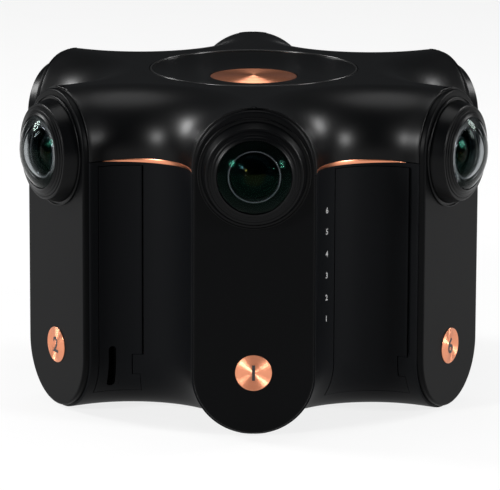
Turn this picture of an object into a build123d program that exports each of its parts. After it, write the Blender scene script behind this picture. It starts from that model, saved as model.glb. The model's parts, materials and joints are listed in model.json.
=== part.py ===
from build123d import *
import math
import os

os.makedirs("parts", exist_ok=True)

# 360 degree camera with six lenses, one on the end of each arm of a star-shaped body.
# Millimetres, +Z up, origin on the ground below the body's axis, the first lens facing -Y.

# Body: six arms with round valleys between them
arm_count = 6
arm_half_width = 21.0
arm_reach = 76.5
arm_side = 4.62
foot_height = 1.2
body_height = 111.4
edge_flat = 0.6
wall = 2.2
seam_drop = 1.0
tongue_thickness = 1.1
tongue_depth = 2.0
snug_gap = 0.1
overrun = 30.0

# Face plate on each arm, with its copper number disc
plate_margin = 0.6
plate_thickness = 2.1
plate_chamfer = 0.55
disc_height = 22.2
disc_radius = 6.23
disc_thickness = 1.2
disc_proud = 0.3
disc_chamfer = 0.2

# Lens: heights along the lens axis are counted from the plate's front face
lens_drop = 0.9
barrel_radius = 14.6
barrel_back = 12.0
flange_radius = 19.04
flange_thickness = 0.7
flare_round = 9.0
bezel_radius = 16.24
bezel_reach = 5.3
nose_reach = 6.8
nose_round = 10.0
bore_radius = 9.5
glass_radius = 12.43
glass_seat = 5.2
glass_edge = 6.9
glass_rise = 4.6
glass_thickness = 2.4
glass_hollow_radius = 9.0
ring_inner_radius = 8.45
ring_back = 2.25
inner_lens_back = 1.0
inner_lens_edge = 2.2
inner_lens_rise = 1.6
sensor_board_side = 26.0
sensor_board_thickness = 1.6
sensor_side = 12.0
sensor_thickness = 1.4
lens_gap = 0.1

# Dish in the top cover, with the large copper disc in its middle
dish_radius = 36.5
dish_lip = 0.8
dish_depth = 2.8
dish_floor_round = 72.0
collar_wall = 2.0
ledge_width = 4.0
ledge_thickness = 2.2
dish_seat_depth = 5.0
top_disc_radius = 15.25
top_disc_thickness = 1.0
top_disc_proud = 0.25

# Copper trim: a crescent in each valley, on the joint of cover and housing
trim_proud = 0.25
trim_depth = 1.1
trim_rise = 0.7
trim_fit = 0.05

# Doors: curved panels of the valley wall on upright hinge pins
door_thickness = 2.0
door_low = 8.0
door_top_gap = 1.8
door_gap = 0.3
card_door_valley_angle = 30
card_door_hinge_angle = 60
card_door_width_share = 1.2146
port_door_valley_angle = -30
port_door_hinge_angle = -23
port_door_width_share = 0.7024
knuckle_radius = 1.7
knuckle_low = 14.6
knuckle_high = 21.7
pin_radius = 0.7
pin_grip = 2.6
pin_top_gap = 0.7
pin_fit = 0.05
notch_width = 2.6
notch_height = 14.5
notch_low = 10.4
notch_depth = 1.0
notch_from_hinge = 9.3

# Card reader behind the right door
# (shares are of the valley radius, counted sideways from the valley's centre)
card_bay_shares = (-0.61, 0.415)
card_bay_gap = 4.0
card_bay_depth = 17.0
card_ear_shares = ((-1.073, -0.707), (0.624, 0.829))
ear_reach_share = 0.678
ear_length = 16.0
bay_above_round = 2.4
bay_below_barrel = 0.6
card_width = 11.0
card_length = 15.0
card_thickness = 1.0
card_count = 6
card_first = 12.0
card_last = 2.0
card_share = -0.22
card_proud = 1.2
card_fit = 0.15

# Small sockets behind the left door
port_bay_shares = (-0.171, 0.561)
port_bay_gap = 3.0
port_bay_depth = 12.0
port_ear_shares = (-0.61, -0.244)
port_share = 0.195
socket_wall = 0.35
socket_depth = 8.0
usb_width = 3.2
usb_length = 9.0
video_width = 3.4
video_length = 7.2
audio_radius = 3.0
audio_hole_radius = 1.75
usb_height_shares = (0.9, 0.61)
video_height_share = 0.35
audio_height_share = 0.13

# Network socket and power inlet in the valley to the left (-X)
network_width = 16.0
network_tall = 13.6
network_back_gap = 2.2
network_height_share = 0.468
network_hole_width = 11.9
network_hole_tall = 8.0
network_back_wall = 7.5
network_sink = 0.7
inlet_radius = 5.6
inlet_height_share = 0.7135
inlet_length = 13.0
inlet_hole_radius = 3.3
inlet_hole_deep = 9.5
inlet_pin_radius = 1.0
panel_gap = 0.15

# Buttons and status window in the valley to the right (+X)
button_proud = 0.9
button_gap = 0.15
button_collar = 1.2
button_collar_thickness = 1.2
power_button_radius = 5.0
power_button_height_share = 0.691
mode_button_radius = 3.6
mode_button_height_share = 0.513
button_stem_length = 4.0
button_dish_depth = 0.4
window_height_share = 0.836
window_width = 3.0
window_length = 9.0
window_thickness = 2.6

# Exhaust slots in the two rear valleys
slot_valley_angles = (150, -150)
slot_width = 2.0
slot_low = 34.0
slot_pitch = 4.6
slot_count = 5
slot_top_gap = 11.7

# Bottom cover with intake slots, tripod bush, feet and screws
cover_thickness = 3.0
cover_chamfer = 0.4
intake_count = 18
intake_width = 2.4
intake_length = 9.0
intake_radius = 22.0
bush_radius = 8.0
bush_height = 13.0
bush_flange_radius = 11.0
bush_flange_thickness = 2.2
socket_radius = 4.0
socket_length = 11.6
socket_chamfer = 0.6
foot_radius = 4.5
foot_sink = 0.8
foot_place_radius = 44.0
foot_chamfer = 0.3
screw_place_radius = 34.4
screw_head_radius = 1.75
screw_head_height = 1.2
screw_shank_radius = 1.0
screw_length = 5.0
screw_drive_width = 1.5
screw_drive_depth = 0.6
screw_fit = 0.05

# Inner frame that ties the bottom to the top and carries the boards
frame_ring_outer = 37.6
frame_ring_inner = 26.0
frame_plate_thickness = 3.0
frame_hub_radius = 13.0
frame_spoke_width = 6.0
post_place_radius = 34.4
post_radius = 2.4
post_collar_radius = 3.6
post_collar_height = 3.0

# Main board, heat sink and fan, from the top down
board_radius = 38.6
board_thickness = 1.6
board_height = 47.0
chip_side = 20.0
chip_thickness = 1.4
sink_side = 44.0
sink_base = 3.0
sink_gap = 3.5
sink_fin_count = 10
sink_fin_thickness = 1.3
fan_side = 50.0
fan_corner = 3.0
fan_low = 15.0
fan_thickness = 10.0
fan_bore_radius = 23.3
fan_hub_radius = 9.0
fan_strut_width = 2.4
fan_strut_count = 4
fan_strut_thickness = 1.5
fan_bush_radius = 3.0
fan_bush_height = 6.0
fan_shaft_radius = 1.0
fan_shaft_fit = 0.05
fan_hole_place = 20.5
fan_hole_radius = 1.6
rotor_tip_radius = 22.6
rotor_cup_radius = 10.0
rotor_cup_wall = 1.2
rotor_gap = 0.6
rotor_blade_count = 7
rotor_blade_thickness = 1.2
rotor_blade_lean_angle = 38

# Sizes that follow
half_step = math.radians(180 / arm_count)
valley_radius = (arm_reach - arm_side) / (2 * math.cos(half_step)) - arm_half_width
edge_round = arm_half_width - edge_flat
plate_half_width = arm_half_width - plate_margin
body_low = foot_height
body_top = body_low + body_height
plate_reach = arm_reach + plate_thickness
pill_top_centre = body_top - arm_half_width
valley_centre = 2 * (arm_half_width + valley_radius)
valley_depth = valley_centre - valley_radius
collar_radius = dish_radius + snug_gap + collar_wall
ledge_radius = dish_radius + snug_gap - ledge_width
dish_seat = body_top - dish_seat_depth
cover_seat = body_low + cover_thickness
frame_low = cover_seat + bush_flange_thickness
frame_top = frame_low + frame_plate_thickness
lens_height = pill_top_centre - lens_drop
seam_height = lens_height - seam_drop
door_high = seam_height - door_top_gap
pin_top = seam_height - pin_top_gap
door_inner_reach = arm_half_width - door_thickness / 2
card_door_width = valley_radius * card_door_width_share
port_door_width = valley_radius * port_door_width_share
bay_x = valley_centre * math.sin(half_step)
bay_y = valley_centre * math.cos(half_step)
ear_reach = bay_y - valley_radius * ear_reach_share
ear_back = ear_reach - ear_length
bay_low = body_low + edge_round + bay_above_round
bay_high = lens_height - barrel_radius - bay_below_barrel
bay_tall = bay_high - bay_low
card_bay_face = bay_y - valley_radius - card_bay_gap
card_centre = bay_x + valley_radius * card_share
port_bay_face = bay_y - valley_radius - port_bay_gap
port_centre = bay_x + valley_radius * port_share
usb_heights = [bay_low + bay_tall * share for share in usb_height_shares]
video_height = bay_low + bay_tall * video_height_share
audio_height = bay_low + bay_tall * audio_height_share
network_face = valley_depth - network_sink
network_deep = network_face - board_radius - network_back_gap
network_hole_deep = network_deep - network_back_wall
network_height = seam_height * network_height_share
inlet_height = seam_height * inlet_height_share
power_button_height = seam_height * power_button_height_share
mode_button_height = seam_height * mode_button_height_share
window_height = seam_height * window_height_share
slot_tall = seam_height - slot_top_gap - slot_low
slot_height = slot_low + slot_tall / 2
sink_fin_height = board_height - sink_base - fan_low - fan_thickness - sink_gap
arm_azimuths = [-index * 360 / arm_count for index in range(arm_count)]


def outward(azimuth):
    # Level direction at an azimuth counted from -Y towards +X
    angle = math.radians(azimuth)
    return Vector(math.sin(angle), -math.cos(angle), 0)


def sideways(azimuth):
    angle = math.radians(azimuth)
    return Vector(math.cos(angle), math.sin(angle), 0)


def upright_plane(azimuth, radius):
    # Faces outwards at a radius, with its own x sideways and its own y up
    return Plane(origin=outward(azimuth) * radius, x_dir=sideways(azimuth), z_dir=outward(azimuth))


def lens_plane(azimuth):
    # Holds the lens axis: x is the radius and y the distance in front of the plate
    origin = outward(azimuth) * plate_reach + Vector(0, 0, lens_height)
    return Plane(origin=origin, x_dir=sideways(azimuth), z_dir=(0, 0, -1))


def lens_axis(azimuth):
    return Axis(lens_plane(azimuth).origin, outward(azimuth))


def hinge_plane(valley, angle):
    # Level plane on a hinge axis in the valley wall: x runs along the door, y outwards
    turn = math.radians(angle)
    reach = valley_radius + door_thickness / 2
    origin = (
        outward(valley) * (valley_centre - reach * math.cos(turn))
        + sideways(valley) * (reach * math.sin(turn))
    )
    along = outward(valley) * -math.sin(turn) + sideways(valley) * -math.cos(turn)
    return Plane(origin=origin, x_dir=along, z_dir=(0, 0, 1))


def raised(plane, height):
    return Plane(origin=plane.origin + Vector(0, 0, height), x_dir=plane.x_dir, z_dir=plane.z_dir)


def star_outline(inset):
    # Plan of the body with its walls moved in by the inset
    with BuildSketch() as outline:
        with PolarLocations(0, arm_count // 2, angular_range=180):
            Rectangle(2 * (arm_half_width - inset), 2 * (arm_reach - inset))
        inner = [v for v in outline.vertices() if Vector(v.X, v.Y, 0).length < arm_reach - inset]
        fillet(inner, valley_radius + inset)
    return outline.sketch


def star_solid(inset):
    # The body as a solid, with full rounds along the top and bottom of the arms and valleys
    half_width = arm_half_width - inset
    with BuildPart() as star:
        with BuildSketch(Plane.XY.offset(body_low + inset)):
            add(star_outline(inset))
        extrude(amount=body_height - 2 * inset)
        rims = star.edges().group_by(Axis.Z)[0] + star.edges().group_by(Axis.Z)[-1]
        sides = [e for e in rims if e.geom_type == GeomType.CIRCLE or e.length < half_width]
        fillet(sides, edge_round - inset)
    return star.part


def door_region(valley, angle, width, gap):
    # Half disc about the hinge, so that the free edge swings clear, no deeper than the arm's middle
    with BuildPart() as region:
        hinge = hinge_plane(valley, angle)
        with BuildSketch(raised(hinge, door_low - gap)):
            Circle(width + gap)
            with Locations((-gap, -door_inner_reach)):
                Rectangle(
                    width + 2 * gap,
                    door_inner_reach + width + gap,
                    align=Align.MIN,
                    mode=Mode.INTERSECT,
                )
        extrude(amount=door_high - door_low + 2 * gap)
        with BuildSketch(raised(hinge, knuckle_high - gap + door_gap)):
            Circle(door_thickness / 2 + gap)
        extrude(amount=door_high - knuckle_high + 2 * gap - door_gap)
    return region.part


def door_knuckle(valley, angle, gap):
    with BuildPart() as knuckle:
        with BuildSketch(raised(hinge_plane(valley, angle), knuckle_low - gap)):
            Circle(knuckle_radius + gap)
        extrude(amount=knuckle_high - knuckle_low + gap + min(gap, door_gap))
    return knuckle.part


def hinge_pins(valley, angle, gap):
    # Two short pins: the lower one in the knuckle, the upper one in the housing's rim
    hinge = hinge_plane(valley, angle)
    with BuildPart() as pins:
        with BuildSketch(raised(hinge, knuckle_high - pin_grip - gap)):
            Circle(pin_radius + gap)
        extrude(amount=2 * pin_grip + door_gap + 2 * gap)
        with BuildSketch(raised(hinge, door_high - pin_grip - gap)):
            Circle(pin_radius + gap)
        extrude(amount=pin_top - door_high + pin_grip + gap)
    return pins.part


def crescent(valley, fit):
    # Copper arc between the arms, thickest in the middle of the valley
    tip = valley_radius * math.sin(math.radians(360 / arm_count))
    with BuildPart() as arc:
        with BuildSketch(upright_plane(valley, valley_depth - trim_depth - fit)):
            with BuildLine():
                ThreePointArc((-tip, seam_height), (0, seam_height + trim_rise + fit), (tip, seam_height))
                ThreePointArc((tip, seam_height), (0, seam_height - trim_rise - fit), (-tip, seam_height))
            make_face()
        extrude(amount=valley_radius)
    return arc.part


def save(part, name):
    part.label = name
    export_step(part, f"parts/{name}.step")


outer_body = star_solid(0)
cavity = star_solid(wall)
clear_cavity = star_solid(wall + snug_gap)
door_inner = star_solid(door_thickness)
doors = (
    (card_door_valley_angle, card_door_hinge_angle, card_door_width),
    (port_door_valley_angle, port_door_hinge_angle, port_door_width),
)

# Crescents of trim, and the grooves that hold them
with BuildPart() as trim_arc:
    add(crescent(card_door_valley_angle, 0))
    with BuildSketch(Plane.XY.offset(seam_height - valley_radius)):
        add(star_outline(-trim_proud))
    extrude(amount=2 * valley_radius, mode=Mode.INTERSECT)
    with BuildSketch(Plane.XY.offset(seam_height - valley_radius)):
        add(star_outline(trim_depth))
    extrude(amount=2 * valley_radius, mode=Mode.SUBTRACT)

with BuildPart() as copper_trim:
    with PolarLocations(0, arm_count):
        add(trim_arc.part)
save(copper_trim.part, "copper_trim")

with BuildPart() as groove_arc:
    add(crescent(card_door_valley_angle, trim_fit))
    with BuildSketch(Plane.XY.offset(seam_height - valley_radius)):
        add(star_outline(trim_depth + trim_fit))
    extrude(amount=2 * valley_radius, mode=Mode.SUBTRACT)

with BuildPart() as trim_groove:
    with PolarLocations(0, arm_count):
        add(groove_arc.part)

# Top cover: the upper shell, with a collar and ledge for the dish and a tongue at the joint
with BuildPart() as top_cover:
    add(outer_body)
    add(cavity, mode=Mode.SUBTRACT)
    split(bisect_by=Plane.XY.offset(seam_height), keep=Keep.TOP)
    with BuildSketch(Plane.XY.offset(seam_height - tongue_depth)):
        add(star_outline(wall + snug_gap))
        add(star_outline(wall + snug_gap + tongue_thickness), mode=Mode.SUBTRACT)
    extrude(amount=tongue_depth)
    with BuildSketch(Plane.XY.offset(seam_height)):
        add(star_outline(wall / 2))
        add(star_outline(wall + snug_gap + tongue_thickness), mode=Mode.SUBTRACT)
    extrude(amount=tongue_thickness)
    with BuildSketch(Plane.XY.offset(dish_seat - ledge_thickness)):
        Circle(collar_radius)
    extrude(amount=dish_seat_depth + ledge_thickness)
    with BuildSketch(Plane.XY.offset(dish_seat - ledge_thickness)):
        Circle(ledge_radius)
    extrude(amount=overrun, mode=Mode.SUBTRACT)
    with BuildSketch(Plane.XY.offset(dish_seat)):
        Circle(dish_radius + snug_gap)
    extrude(amount=overrun, mode=Mode.SUBTRACT)
    add(trim_groove.part, mode=Mode.SUBTRACT)
    for azimuth in arm_azimuths:
        with BuildSketch(upright_plane(azimuth, arm_reach)):
            with Locations((0, lens_height)):
                Circle(barrel_radius + snug_gap)
        extrude(amount=-2 * (wall + tongue_thickness), mode=Mode.SUBTRACT)
save(top_cover.part, "top_cover")

# Lower housing: the rest of the shell, with its windows, sockets, slots and foot recesses
with BuildPart() as lower_housing:
    add(outer_body)
    add(cavity, mode=Mode.SUBTRACT)
    split(bisect_by=Plane.XY.offset(seam_height), keep=Keep.BOTTOM)
    with BuildSketch(Plane.XY.offset(body_low)):
        Circle(collar_radius)
    extrude(amount=cover_thickness + bush_flange_thickness)
    with BuildSketch(Plane.XY.offset(body_low)):
        Circle(ledge_radius)
    extrude(amount=overrun, mode=Mode.SUBTRACT)
    with BuildSketch(Plane.XY.offset(body_low)):
        Circle(dish_radius + snug_gap)
    extrude(amount=cover_thickness, mode=Mode.SUBTRACT)
    with BuildSketch(Plane.XY.offset(body_low)):
        with PolarLocations(screw_place_radius, arm_count):
            Circle(screw_shank_radius + screw_fit)
    extrude(amount=screw_length, mode=Mode.SUBTRACT)
    add(trim_groove.part, mode=Mode.SUBTRACT)
    for azimuth in arm_azimuths:
        with BuildSketch(upright_plane(azimuth, arm_reach)):
            with Locations((0, lens_height)):
                Circle(barrel_radius + snug_gap)
        extrude(amount=-2 * wall, mode=Mode.SUBTRACT)
        with BuildSketch(Plane(outward(azimuth) * foot_place_radius)):
            Circle(foot_radius + snug_gap)
        extrude(amount=foot_height + foot_sink, mode=Mode.SUBTRACT)
    for valley, angle, width in doors:
        add(door_region(valley, angle, width, door_gap), mode=Mode.SUBTRACT)
    for valley in slot_valley_angles:
        with BuildSketch(upright_plane(valley, valley_depth - wall)):
            with Locations((0, slot_height)):
                with GridLocations(slot_pitch, 0, slot_count, 1):
                    SlotOverall(slot_tall, slot_width, rotation=90)
        extrude(amount=valley_radius, mode=Mode.SUBTRACT)
    with BuildSketch(upright_plane(-90, network_face - network_deep)):
        with Locations((0, network_height)):
            Rectangle(network_width + 2 * panel_gap, network_tall + 2 * panel_gap)
        with Locations((0, inlet_height)):
            Circle(inlet_radius + panel_gap)
    extrude(amount=network_deep + valley_radius, mode=Mode.SUBTRACT)
    with BuildSketch(upright_plane(90, valley_depth - 2 * wall)):
        with Locations((0, power_button_height)):
            Circle(power_button_radius + button_gap)
        with Locations((0, mode_button_height)):
            Circle(mode_button_radius + button_gap)
        with Locations((0, window_height)):
            SlotOverall(window_length + 2 * panel_gap, window_width + 2 * panel_gap)
    extrude(amount=valley_radius, mode=Mode.SUBTRACT)

# Knuckles that stay in the housing below each door's hinge edge, drilled for the pins
with BuildPart() as knuckles:
    for valley, angle, width in doors:
        add(door_knuckle(valley, angle, 0))
    add(outer_body, mode=Mode.INTERSECT)
    add(door_inner, mode=Mode.SUBTRACT)

with BuildPart() as drilled_housing:
    add(lower_housing.part)
    add(knuckles.part)
    for valley, angle, width in doors:
        add(hinge_pins(valley, angle, 0), mode=Mode.SUBTRACT)
save(drilled_housing.part, "lower_housing")


def door(valley, angle, width):
    # Panel of the body's own wall, with a rounded hinge edge bored for the pins
    with BuildPart() as panel:
        add(door_region(valley, angle, width, 0))
        add(outer_body, mode=Mode.INTERSECT)
        add(door_inner, mode=Mode.SUBTRACT)
        add(door_knuckle(valley, angle, door_gap), mode=Mode.SUBTRACT)
        add(hinge_pins(valley, angle, pin_fit), mode=Mode.SUBTRACT)
    return panel.part


save(door(*doors[0]), "card_door")

# The left door has a shallow finger notch that follows its surface
with BuildPart() as notch:
    hinge = hinge_plane(port_door_valley_angle, port_door_hinge_angle)
    with BuildSketch(Plane(hinge.origin, x_dir=hinge.x_dir, z_dir=hinge.y_dir)):
        with Locations((notch_from_hinge, -notch_low - notch_height / 2)):
            SlotOverall(notch_height, notch_width, rotation=90)
    extrude(amount=valley_radius, both=True)
    add(star_solid(notch_depth), mode=Mode.SUBTRACT)

with BuildPart() as port_door:
    add(door(*doors[1]))
    add(notch.part, mode=Mode.SUBTRACT)
save(port_door.part, "port_door")

save(hinge_pins(card_door_valley_angle, card_door_hinge_angle, 0), "card_door_pins")
save(hinge_pins(port_door_valley_angle, port_door_hinge_angle, 0), "port_door_pins")

# Card reader: a block with six slots that face the front, and a card in each
card_pitch = (bay_tall - card_first - card_last) / (card_count - 1)
card_heights = [bay_low + card_first + card_pitch * index for index in range(card_count)]
card_bay_left, card_bay_right = [bay_x + valley_radius * share for share in card_bay_shares]
card_ears = [[bay_x + valley_radius * share for share in pair] for pair in card_ear_shares]

with BuildPart() as card_bay:
    with BuildSketch(Plane.XY.offset(bay_low)):
        with Locations((card_bay_left, -card_bay_face)):
            Rectangle(card_bay_right - card_bay_left, card_bay_depth, align=Align.MIN)
        with Locations((card_ears[0][0], -card_bay_face)):
            Rectangle(card_ears[1][1] - card_ears[0][0], card_bay_face - ear_back, align=Align.MIN)
        for left, right in card_ears:
            with Locations((left, -ear_reach)):
                Rectangle(right - left, ear_reach - ear_back, align=Align.MIN)
    extrude(amount=bay_high - bay_low)
    add(clear_cavity, mode=Mode.INTERSECT)
    with BuildSketch(Plane.XZ.offset(card_bay_face)):
        for height in card_heights:
            with Locations((card_centre, height)):
                Rectangle(card_width + 2 * card_fit, card_thickness + 2 * card_fit)
    extrude(amount=-(card_length - card_proud), mode=Mode.SUBTRACT)
save(card_bay.part, "card_bay")

with BuildPart() as memory_cards:
    with BuildSketch(Plane.XZ.offset(card_bay_face + card_proud)):
        for height in card_heights:
            with Locations((card_centre, height)):
                Rectangle(card_width, card_thickness)
    extrude(amount=-card_length)
save(memory_cards.part, "memory_cards")

# Port block: small metal sockets set into a block behind the left door
port_bay_right, port_bay_left = [bay_x + valley_radius * share for share in port_bay_shares]
port_ear = [bay_x + valley_radius * share for share in port_ear_shares]

with BuildPart() as port_bay:
    with BuildSketch(Plane.XY.offset(bay_low)):
        with Locations((-port_bay_left, -port_bay_face)):
            Rectangle(port_bay_left - port_bay_right, port_bay_depth, align=Align.MIN)
        with Locations((-port_bay_left, -port_bay_face)):
            Rectangle(port_bay_left - port_ear[0], port_bay_face - ear_back, align=Align.MIN)
        with Locations((-port_ear[1], -ear_reach)):
            Rectangle(port_ear[1] - port_ear[0], ear_reach - ear_back, align=Align.MIN)
    extrude(amount=bay_high - bay_low)
    add(clear_cavity, mode=Mode.INTERSECT)
    with BuildSketch(Plane.XZ.offset(port_bay_face)):
        for height in usb_heights:
            with Locations((-port_centre, height)):
                SlotOverall(usb_length, usb_width, rotation=90)
        with Locations((-port_centre, video_height)):
            Rectangle(video_width, video_length)
        with Locations((-port_centre, audio_height)):
            Circle(audio_radius)
    extrude(amount=-socket_depth, mode=Mode.SUBTRACT)
save(port_bay.part, "port_bay")

with BuildPart() as port_sockets:
    with BuildSketch(Plane.XZ.offset(port_bay_face)):
        for height in usb_heights:
            with Locations((-port_centre, height)):
                SlotOverall(usb_length, usb_width, rotation=90)
        with Locations((-port_centre, video_height)):
            Rectangle(video_width, video_length)
        with Locations((-port_centre, audio_height)):
            Circle(audio_radius)
    extrude(amount=-socket_depth)
    with BuildSketch(Plane.XZ.offset(port_bay_face)):
        for height in usb_heights:
            with Locations((-port_centre, height)):
                SlotOverall(usb_length - 2 * socket_wall, usb_width - 2 * socket_wall, rotation=90)
        with Locations((-port_centre, video_height)):
            Rectangle(video_width - 2 * socket_wall, video_length - 2 * socket_wall)
        with Locations((-port_centre, audio_height)):
            Circle(audio_hole_radius)
    extrude(amount=-(socket_depth - socket_wall), mode=Mode.SUBTRACT)
save(port_sockets.part, "port_sockets")

# Network socket and round power inlet, facing -X
with BuildPart() as network_socket:
    with BuildSketch(upright_plane(-90, network_face)):
        with Locations((0, network_height)):
            Rectangle(network_width, network_tall)
    extrude(amount=-network_deep)
    with BuildSketch(upright_plane(-90, network_face)):
        with Locations((0, network_height)):
            Rectangle(network_hole_width, network_hole_tall)
            with Locations((0, -network_hole_tall / 2)):
                Rectangle(network_hole_width / 2, network_hole_tall / 2)
    extrude(amount=-network_hole_deep, mode=Mode.SUBTRACT)
save(network_socket.part, "network_socket")

with BuildPart() as power_inlet:
    with BuildSketch(upright_plane(-90, network_face)):
        with Locations((0, inlet_height)):
            Circle(inlet_radius)
    extrude(amount=-inlet_length)
    with BuildSketch(upright_plane(-90, network_face)):
        with Locations((0, inlet_height)):
            Circle(inlet_hole_radius)
            Circle(inlet_pin_radius, mode=Mode.SUBTRACT)
    extrude(amount=-inlet_hole_deep, mode=Mode.SUBTRACT)
save(power_inlet.part, "power_inlet")


def button(radius, height):
    # Dished cap on a stem, held behind the wall by a collar
    with BuildPart() as cap:
        with BuildSketch(upright_plane(90, valley_depth + button_proud)):
            with Locations((0, height)):
                Circle(radius)
        extrude(amount=-(button_proud + wall + button_gap))
        with BuildSketch(upright_plane(90, valley_depth - wall - button_gap)):
            with Locations((0, height)):
                Circle(radius + button_collar)
        extrude(amount=-button_collar_thickness)
        with BuildSketch(upright_plane(90, valley_depth - wall - button_gap)):
            with Locations((0, height)):
                Circle(radius / 2)
        extrude(amount=-button_stem_length)
        rim = cap.edges().filter_by(GeomType.CIRCLE).sort_by(Axis.X)[-1]
        fillet(rim, button_dish_depth)
    return cap.part


save(button(power_button_radius, power_button_height), "power_button")
save(button(mode_button_radius, mode_button_height), "mode_button")

with BuildPart() as status_window:
    with BuildSketch(upright_plane(90, valley_depth)):
        with Locations((0, window_height)):
            SlotOverall(window_length, window_width)
    extrude(amount=-window_thickness)
save(status_window.part, "status_window")

# Dish plate: a shallow bowl with a flat seat for the copper disc
with BuildPart() as dish_plate:
    with BuildSketch(Plane.XZ):
        with BuildLine():
            floor = body_top - dish_depth
            Polyline(
                (0, floor),
                (0, dish_seat),
                (dish_radius, dish_seat),
                (dish_radius, body_top),
                (dish_radius - dish_lip, body_top),
            )
            RadiusArc((dish_radius - dish_lip, body_top), (top_disc_radius + dish_lip, floor), dish_floor_round)
            Line((top_disc_radius + dish_lip, floor), (0, floor))
        make_face()
    revolve(axis=Axis.Z)
    with BuildSketch(Plane.XY.offset(floor)):
        Circle(top_disc_radius + snug_gap)
    extrude(amount=-(top_disc_thickness - top_disc_proud), mode=Mode.SUBTRACT)
save(dish_plate.part, "dish_plate")

with BuildPart() as top_disc:
    with BuildSketch(Plane.XY.offset(floor + top_disc_proud - top_disc_thickness)):
        Circle(top_disc_radius)
    extrude(amount=top_disc_thickness)
    chamfer(top_disc.edges().group_by(Axis.Z)[-1], disc_chamfer)
save(top_disc.part, "top_disc")

# Bottom cover: a round plate with intake slots, a hole for the bush and countersunk screws
with BuildPart() as bottom_cover:
    with BuildSketch(Plane.XY.offset(body_low)):
        Circle(dish_radius)
        Circle(bush_radius + snug_gap, mode=Mode.SUBTRACT)
        with PolarLocations(intake_radius, intake_count):
            SlotOverall(intake_length, intake_width, mode=Mode.SUBTRACT)
    extrude(amount=cover_thickness)
    rim = bottom_cover.faces().sort_by(Axis.Z)[0].outer_wire().edges()
    chamfer(rim, cover_chamfer)
    with BuildSketch(Plane.XY.offset(body_low)):
        with PolarLocations(screw_place_radius, arm_count):
            Circle(screw_head_radius + screw_fit)
    extrude(amount=screw_head_height, mode=Mode.SUBTRACT)
    with BuildSketch(Plane.XY.offset(body_low)):
        with PolarLocations(screw_place_radius, arm_count):
            Circle(screw_shank_radius + screw_fit)
    extrude(amount=cover_thickness, mode=Mode.SUBTRACT)
save(bottom_cover.part, "bottom_cover")

with BuildPart() as bottom_screws:
    with BuildSketch(Plane.XY.offset(body_low)):
        with PolarLocations(screw_place_radius, arm_count):
            Circle(screw_head_radius)
    extrude(amount=screw_head_height)
    with BuildSketch(Plane.XY.offset(body_low)):
        with PolarLocations(screw_place_radius, arm_count):
            Circle(screw_shank_radius)
    extrude(amount=screw_length)
    with BuildSketch(Plane.XY.offset(body_low)):
        with PolarLocations(screw_place_radius, arm_count):
            RegularPolygon(screw_drive_width / 2, 6)
    extrude(amount=screw_drive_depth, mode=Mode.SUBTRACT)
save(bottom_screws.part, "bottom_screws")

# Tripod bush: flanged, with a blind socket from below
with BuildPart() as tripod_bush:
    with BuildSketch(Plane.XY.offset(body_low)):
        Circle(bush_radius)
    extrude(amount=bush_height)
    with BuildSketch(Plane.XY.offset(cover_seat)):
        Circle(bush_flange_radius)
    extrude(amount=bush_flange_thickness)
    with BuildSketch(Plane.XY.offset(body_low)):
        Circle(socket_radius)
    extrude(amount=socket_length, mode=Mode.SUBTRACT)
    mouth = tripod_bush.edges().filter_by(GeomType.CIRCLE).group_by(Axis.Z)[0].sort_by(SortBy.LENGTH)[0]
    chamfer(mouth, socket_chamfer)
save(tripod_bush.part, "tripod_bush")

with BuildPart() as feet:
    for azimuth in arm_azimuths:
        with BuildSketch(Plane(outward(azimuth) * foot_place_radius)):
            Circle(foot_radius)
    extrude(amount=foot_height + foot_sink)
    chamfer(feet.edges().group_by(Axis.Z)[0], foot_chamfer)
save(feet.part, "feet")

# Inner frame: hub, spokes and ring, with a post in line with each valley
with BuildPart() as inner_frame:
    with BuildSketch(Plane.XY.offset(frame_low)):
        Circle(frame_ring_outer)
        Circle(frame_ring_inner, mode=Mode.SUBTRACT)
        Circle(frame_hub_radius)
        with PolarLocations(0, arm_count // 2, angular_range=180):
            Rectangle(2 * frame_ring_inner + frame_spoke_width, frame_spoke_width)
        Circle(bush_radius + snug_gap, mode=Mode.SUBTRACT)
    extrude(amount=frame_plate_thickness)
    with BuildSketch(Plane.XY.offset(frame_top)):
        with PolarLocations(post_place_radius, arm_count):
            Circle(post_radius)
    extrude(amount=dish_seat - ledge_thickness - frame_top)
    with BuildSketch(Plane.XY.offset(board_height - post_collar_height)):
        with PolarLocations(post_place_radius, arm_count):
            Circle(post_collar_radius)
    extrude(amount=post_collar_height)
    with BuildSketch(Plane.XY.offset(frame_top)):
        with GridLocations(2 * fan_hole_place, 2 * fan_hole_place, 2, 2):
            Circle(post_radius)
    extrude(amount=fan_low - frame_top)
    with BuildSketch(Plane.XY.offset(frame_low)):
        with PolarLocations(screw_place_radius, arm_count):
            Circle(screw_shank_radius + screw_fit)
    extrude(amount=screw_length, mode=Mode.SUBTRACT)
save(inner_frame.part, "inner_frame")

with BuildPart() as main_board:
    with BuildSketch(Plane.XY.offset(board_height)):
        Circle(board_radius)
        with PolarLocations(post_place_radius, arm_count):
            Circle(post_radius + snug_gap, mode=Mode.SUBTRACT)
    extrude(amount=board_thickness)
    with BuildSketch(Plane.XY.offset(board_height + board_thickness)):
        with GridLocations(chip_side + chip_side / 4, chip_side + chip_side / 4, 2, 1):
            Rectangle(chip_side, chip_side)
    extrude(amount=chip_thickness)
save(main_board.part, "main_board")

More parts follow.
